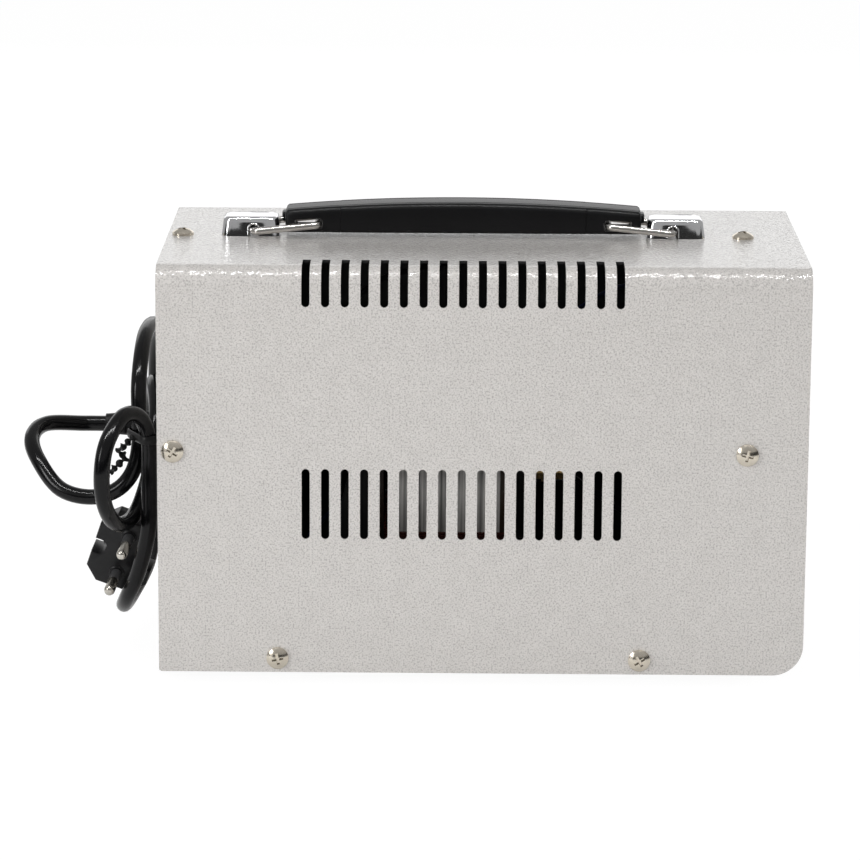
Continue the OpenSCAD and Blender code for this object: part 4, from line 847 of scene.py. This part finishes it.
# ---- Transformer mounting ----
# A bent steel bracket behind and a cast disc in front, both lacquered black, clamp the ring
# between them with three bolts. Both hold a brass bush for the shaft, and a post on the disc
# stops the arm.
cast_aluminium = plated("cast_aluminium", (0.40, 0.405, 0.41), 0.45, streak_mm=0.8, depth=0.06)
turned_brass = plated("turned_brass", (0.72, 0.50, 0.22), 0.28, streak_mm=0.3, depth=0.006)
black_lacquer = moulded("black_lacquer", (0.012, 0.012, 0.012), 0.45, 0.8, 0.03, shine=0.2)
finish_node("transformer_bracket", black_lacquer, 0.25)
finish_node("clamp_disc", black_lacquer, 0.5)
for brass_part in ("shaft_bushes", "collector_ring", "stop_post"):
    finish_node(brass_part, turned_brass, 0.15)

# ---- Rotor ----
# The ground steel shaft carries a collar, a cast arm, and a blackened holder whose spring presses
# the carbon brush on the track.
ground_steel = plated("ground_steel", (0.58, 0.58, 0.60), 0.2, streak=(0.05, 1, 1), streak_mm=0.3)
carbon = moulded("pressed_carbon", (0.03, 0.03, 0.032), 0.5, 0.3, 0.03)
finish_node("shaft", ground_steel, 0.4)
finish_node("shaft_collar", zinc, 0.3)
finish_node("brush_arm", cast_aluminium, 0.4)
blackened_brass = plated("blackened_brass", (0.045, 0.038, 0.030), 0.35, streak_mm=0.3, depth=0.006)
finish_node("brush_holder", blackened_brass, 0.2)
finish_node("contact_washer", turned_brass, 0.1)
finish_node("brush", carbon, 0.3)
finish_node("brush_spring", ground_steel, 0, 70)

# ---- Dial ----
# A satin anodised plate with a printed scale from 0 to 250: a long stroke and a number every
# 25, a short stroke every 5. A black plastic bush closes the hole round the shaft.
dial_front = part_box("dial_plate")[1].x
scale_turn = 310
scale_start = -90 - (360 - scale_turn) / 2
stroke_inside = 29.6
stroke_outside = (31.2, 32.6)
stroke_wide = (0.3, 0.55)
number_ring = 35.9

anodised = plated("satin_anodised", (0.72, 0.72, 0.73), 0.42, streak=(1, 1, 0.04), streak_mm=0.35,
                  depth=0.01)
finish_node("dial_plate", anodised, 0.2)
bush_plastic = moulded("bush_plastic", (0.02, 0.02, 0.02), 0.4, 0.3, 0.01)
finish_node("panel_bush", bush_plastic, 0.2)


def printed_words(words, height, middle, lift):
    """Flat figures of ink facing +X, each (text, y, z) in millimetres from the middle."""
    ink = bmesh.new()
    for text, y, z in words:
        font = bpy.data.curves.new("figures", "FONT")
        font.body = text
        font.size = height * mm
        font.align_x = "CENTER"
        font.align_y = "CENTER"
        font.extrude = 0.02 * mm
        letter = bpy.data.objects.new("figures", font)
        bpy.context.scene.collection.objects.link(letter)
        bpy.context.view_layer.update()
        seen_now = bpy.context.evaluated_depsgraph_get()
        flat = bpy.data.meshes.new_from_object(letter.evaluated_get(seen_now))
        flat.transform(Matrix.Translation((lift, middle[0] + y * mm, middle[1] + z * mm))
                       @ Matrix(((0, 0, 1, 0), (1, 0, 0, 0), (0, 1, 0, 0), (0, 0, 0, 1))))
        ink.from_mesh(flat)
        bpy.data.objects.remove(letter)
    return ink


def printed_stroke(ink, middle, lift, angle, inside, outside, wide):
    """A stroke of ink that points away from the middle, between two radii in millimetres."""
    out = Vector((0, cos(angle), sin(angle)))
    side = Vector((0, -sin(angle), cos(angle))) * wide / 2 * mm
    base = Vector((lift, *middle))
    rim = [base + out * inside * mm - side, base + out * inside * mm + side,
           base + out * outside * mm + side, base + out * outside * mm - side]
    thick = Vector((0.02 * mm, 0, 0))
    loft(ink, [[p - thick for p in rim], [p + thick for p in rim]])


def dial_angle(volts):
    return radians(scale_start - scale_turn * volts / 250)


dial_middle = (0, shaft_height)
figures = [(str(volts), number_ring * cos(dial_angle(volts)), number_ring * sin(dial_angle(volts)))
           for volts in range(0, 251, 25)]
dial_ink = printed_words(figures, 3.6, dial_middle, dial_front + 0.02 * mm)
for volts in range(0, 251, 5):
    long_one = volts % 25 == 0
    printed_stroke(dial_ink, dial_middle, dial_front + 0.02 * mm, dial_angle(volts), stroke_inside,
                   stroke_outside[long_one], stroke_wide[long_one])
black_ink = moulded("black_ink", (0.02, 0.02, 0.022), 0.5, 0.3, 0.002)
dial_scale = new_piece("dial_scale", dial_ink, black_ink, smooth=20)
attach(dial_scale, "chassis")

# ---- Knob ----
# A fluted black bakelite knob with a flat skirt, fixed to the shaft by a grub screw. A white
# line on the skirt points at the scale, and a spun disc covers the knob's top.
bakelite = moulded("bakelite", (0.016, 0.015, 0.015), 0.24, 0.6, 0.01, tint=0.25, coat=0.5, shine=0.45)
finish_node("knob", bakelite, 0.45, 30)
knob_low, knob_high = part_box("knob")
skirt_face = knob_low.x + 5.2 * mm
pointer_from, pointer_to, pointer_wide = 23.4, 26.7, 1.5
pointer_ink = bmesh.new()
printed_stroke(pointer_ink, dial_middle, skirt_face + 0.03 * mm, dial_angle(0), pointer_from, pointer_to,
               pointer_wide)
white_ink = moulded("white_ink", (0.80, 0.79, 0.76), 0.5, 0.3, 0.004, tint=0.04)
pointer_line = new_piece("pointer_line", pointer_ink, white_ink, smooth=20)
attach(pointer_line, "rotor")
cap_disc = bmesh.new()
loft(cap_disc, [[(knob_high.x + x * mm, y * mm, shaft_height + z * mm) for y, z in circle(r, 48)]
                for x, r in ((-1.2, 15.8), (-0.75, 15.8), (-0.55, 15.5), (-0.5, 15.0))])
spun_aluminium = plated("spun_aluminium", (0.74, 0.74, 0.75), 0.3, streak_mm=0.4, depth=0.008)
knob_disc = new_piece("knob_disc", cap_disc, spun_aluminium, smooth=30)
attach(knob_disc, "rotor")

# ---- Meter ----
# A moving-coil voltmeter in a glossy black case, with a clear window over a white card. The
# card has a scale from 0 to 250, and a slotted screw below sets the needle to zero.
meter_black = moulded("meter_black", (0.014, 0.014, 0.015), 0.22, 0.5, 0.006, coat=0.4, shine=0.4)
finish_node("meter_case", meter_black, 0.4)
finish_node("zero_screw", meter_black, 0.15)
finish_node("meter_magnet", zinc, 0.4)
finish_node("meter_nuts", turned_brass, 0.1, 40)
card_paint = moulded("card_paint", (0.80, 0.79, 0.75), 0.55, 0.3, 0.004, tint=0.03)
finish_node("scale_card", card_paint)
needle_black = moulded("needle_black", (0.015, 0.015, 0.015), 0.4, 0.3, 0.004)
finish_node("needle", needle_black)

window_glass, window_tree, window_skin = new_material("clear_acrylic")
window_skin.inputs["Base Color"].default_value = (0.97, 0.98, 0.98, 1)
window_skin.inputs["Transmission Weight"].default_value = 1
window_skin.inputs["IOR"].default_value = 1.2
haze = window_tree.nodes.new("ShaderNodeTexNoise")
haze.inputs["Scale"].default_value = 60
haze_gloss = window_tree.nodes.new("ShaderNodeMapRange")
haze_gloss.inputs["To Min"].default_value = 0.0
haze_gloss.inputs["To Max"].default_value = 0.05
window_tree.links.new(haze.outputs["Fac"], haze_gloss.inputs["Value"])
window_tree.links.new(haze_gloss.outputs["Result"], window_skin.inputs["Roughness"])
finish_node("meter_window", window_glass, 0.15)

needle_middle = (-31 * mm, 148 * mm)
card_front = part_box("scale_card")[1].x
needle_swing = 88
card_numbers = 26.4
card_stroke_inside = 21.4
card_stroke_outside = (23, 24.2)
card_stroke_wide = (0.22, 0.4)
arc_inside, arc_outside = 21.1, 21.5
arc_strokes = 44
arc_stroke_wide = 0.58


def card_angle(volts):
    return radians(90 + needle_swing / 2 - needle_swing * volts / 250)


figures = [(str(volts), card_numbers * cos(card_angle(volts)), card_numbers * sin(card_angle(volts)))
           for volts in range(0, 251, 50)]
card_ink = printed_words(figures, 2.9, needle_middle, card_front + 0.02 * mm)
for volts in range(0, 251, 10):
    long_one = volts % 50 == 0
    printed_stroke(card_ink, needle_middle, card_front + 0.02 * mm, card_angle(volts), card_stroke_inside,
                   card_stroke_outside[long_one], card_stroke_wide[long_one])
for k in range(arc_strokes):
    printed_stroke(card_ink, needle_middle, card_front + 0.02 * mm,
                   card_angle(250 * (k + 0.5) / arc_strokes), arc_inside, arc_outside, arc_stroke_wide)
card_scale = new_piece("card_scale", card_ink, black_ink, smooth=20)
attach(card_scale, "chassis")

# ---- Switch ----
# A black snap-in frame with a red rocker. The upper half is marked I and the lower half O, in
# white, and the lower half is pressed in when the set is off.
switch_frame = moulded("switch_frame", (0.018, 0.018, 0.019), 0.38, 0.3, 0.015)
finish_node("switch_body", switch_frame, 0.25)
rocker_red = moulded("rocker_red", (0.50, 0.018, 0.012), 0.22, 0.5, 0.004, tint=0.08, coat=0.3,
                     shine=0.5)
for socket, value in (("Subsurface Weight", 0.15), ("Subsurface Scale", 0.002)):
    rocker_red.node_tree.nodes["Principled BSDF"].inputs[socket].default_value = value
finish_node("rocker", rocker_red, 0.3, 30)
rocker_pivot = Vector((117.5, -38, 28)) * mm
rocker_rest = radians(10)
half_slope = atan2(2.6, 12.3)
mark_out, mark_up = 7.12, 5.2
marks = bmesh.new()
for half, half_mark in ((1, "I"), (-1, "O")):
    placed = (Matrix.Translation(rocker_pivot) @ Matrix.Rotation(rocker_rest, 4, "Y")
              @ Matrix.Scale(mm, 4) @ Matrix.Translation((mark_out, 0, half * mark_up))
              @ Matrix.Rotation(half * half_slope, 4, "Y"))
    if half_mark == "I":
        bar = [(-0.35, -1.9), (0.35, -1.9), (0.35, 1.9), (-0.35, 1.9)]
        loft(marks, [[placed @ Vector((x, y, z)) for y, z in bar] for x in (0.0, 0.06)])
    else:
        hoop(marks, [[placed @ Vector((x, y, 1.2 * z)) for y, z in circle(r, 28)]
                     for x, r in ((0, 1.3), (0.06, 1.3), (0.06, 1.85), (0, 1.85))])
rocker_marks = new_piece("rocker_marks", marks, white_ink, smooth=20)
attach(rocker_marks, "switch_rocker")

# ---- Outlet ----
# A round panel socket in hard black plastic: a deep recess, two holes with sprung brass
# contacts, and the earth clips at the top and the bottom.
socket_black = moulded("socket_black", (0.016, 0.016, 0.017), 0.3, 0.4, 0.012, shine=0.4)
finish_node("outlet_body", socket_black, 0.5)
finish_node("outlet_nut", socket_black, 0.4)
finish_node("outlet_contacts", turned_brass, 0.15)
finish_node("outlet_earth", turned_brass, 0.12)

# ---- Fuse holder ----
# A black holder with a bayonet cap, slotted for a screwdriver. The glass fuse comes out on it.
finish_node("fuse_holder", socket_black, 0.4)
finish_node("fuse_cap", socket_black, 0.4, 30)
fuse_metal = plated("fuse_metal", (0.66, 0.66, 0.67), 0.2, streak_mm=0.3)
finish_node("fuse_link", fuse_metal, 0.2)

# ---- Mains side ----
# A white terminal block with brass screws, the brass earth stud with its nuts, and the wires.
block_white = moulded("block_white", (0.74, 0.73, 0.68), 0.35, 0.4, 0.01, tint=0.05)
finish_node("terminal_block", block_white, 0.4)
for brass_part in ("terminal_screws", "earth_stud"):
    finish_node(brass_part, turned_brass, 0.15, 40)

blue = (0.008, 0.014, 0.05)
black = (0.012, 0.012, 0.013)
wire_colours = ((0.14, 0.05, 0.02), blue, (0.08, 0.32, 0.04), (0.10, 0.035, 0.02),
                black, black, blue, black, blue, black, blue)
wiring = nodes["inner_wires"]
finish_node("inner_wires", moulded("wire_sleeve_0", wire_colours[0], 0.35, 0.4, 0.01), 0, 60)
for n, colour in enumerate(wire_colours[1:], 1):
    wiring.data.materials.append(moulded(f"wire_sleeve_{n}", colour, 0.35, 0.4, 0.01))
spots = [tuple(round(c * 1e6) for c in v.co) for v in wiring.data.vertices]
first_at = {}
joined = [first_at.setdefault(spot, v) for v, spot in enumerate(spots)]


def root_of(v):
    while joined[v] != v:
        joined[v] = joined[joined[v]]
        v = joined[v]
    return v


for edge in wiring.data.edges:
    a, b = (root_of(v) for v in edge.vertices)
    if a != b:
        joined[max(a, b)] = min(a, b)
wires = sorted({root_of(v) for v in range(len(joined))})
for face in wiring.data.polygons:
    face.material_index = wires.index(root_of(face.vertices[0])) % len(wire_colours)
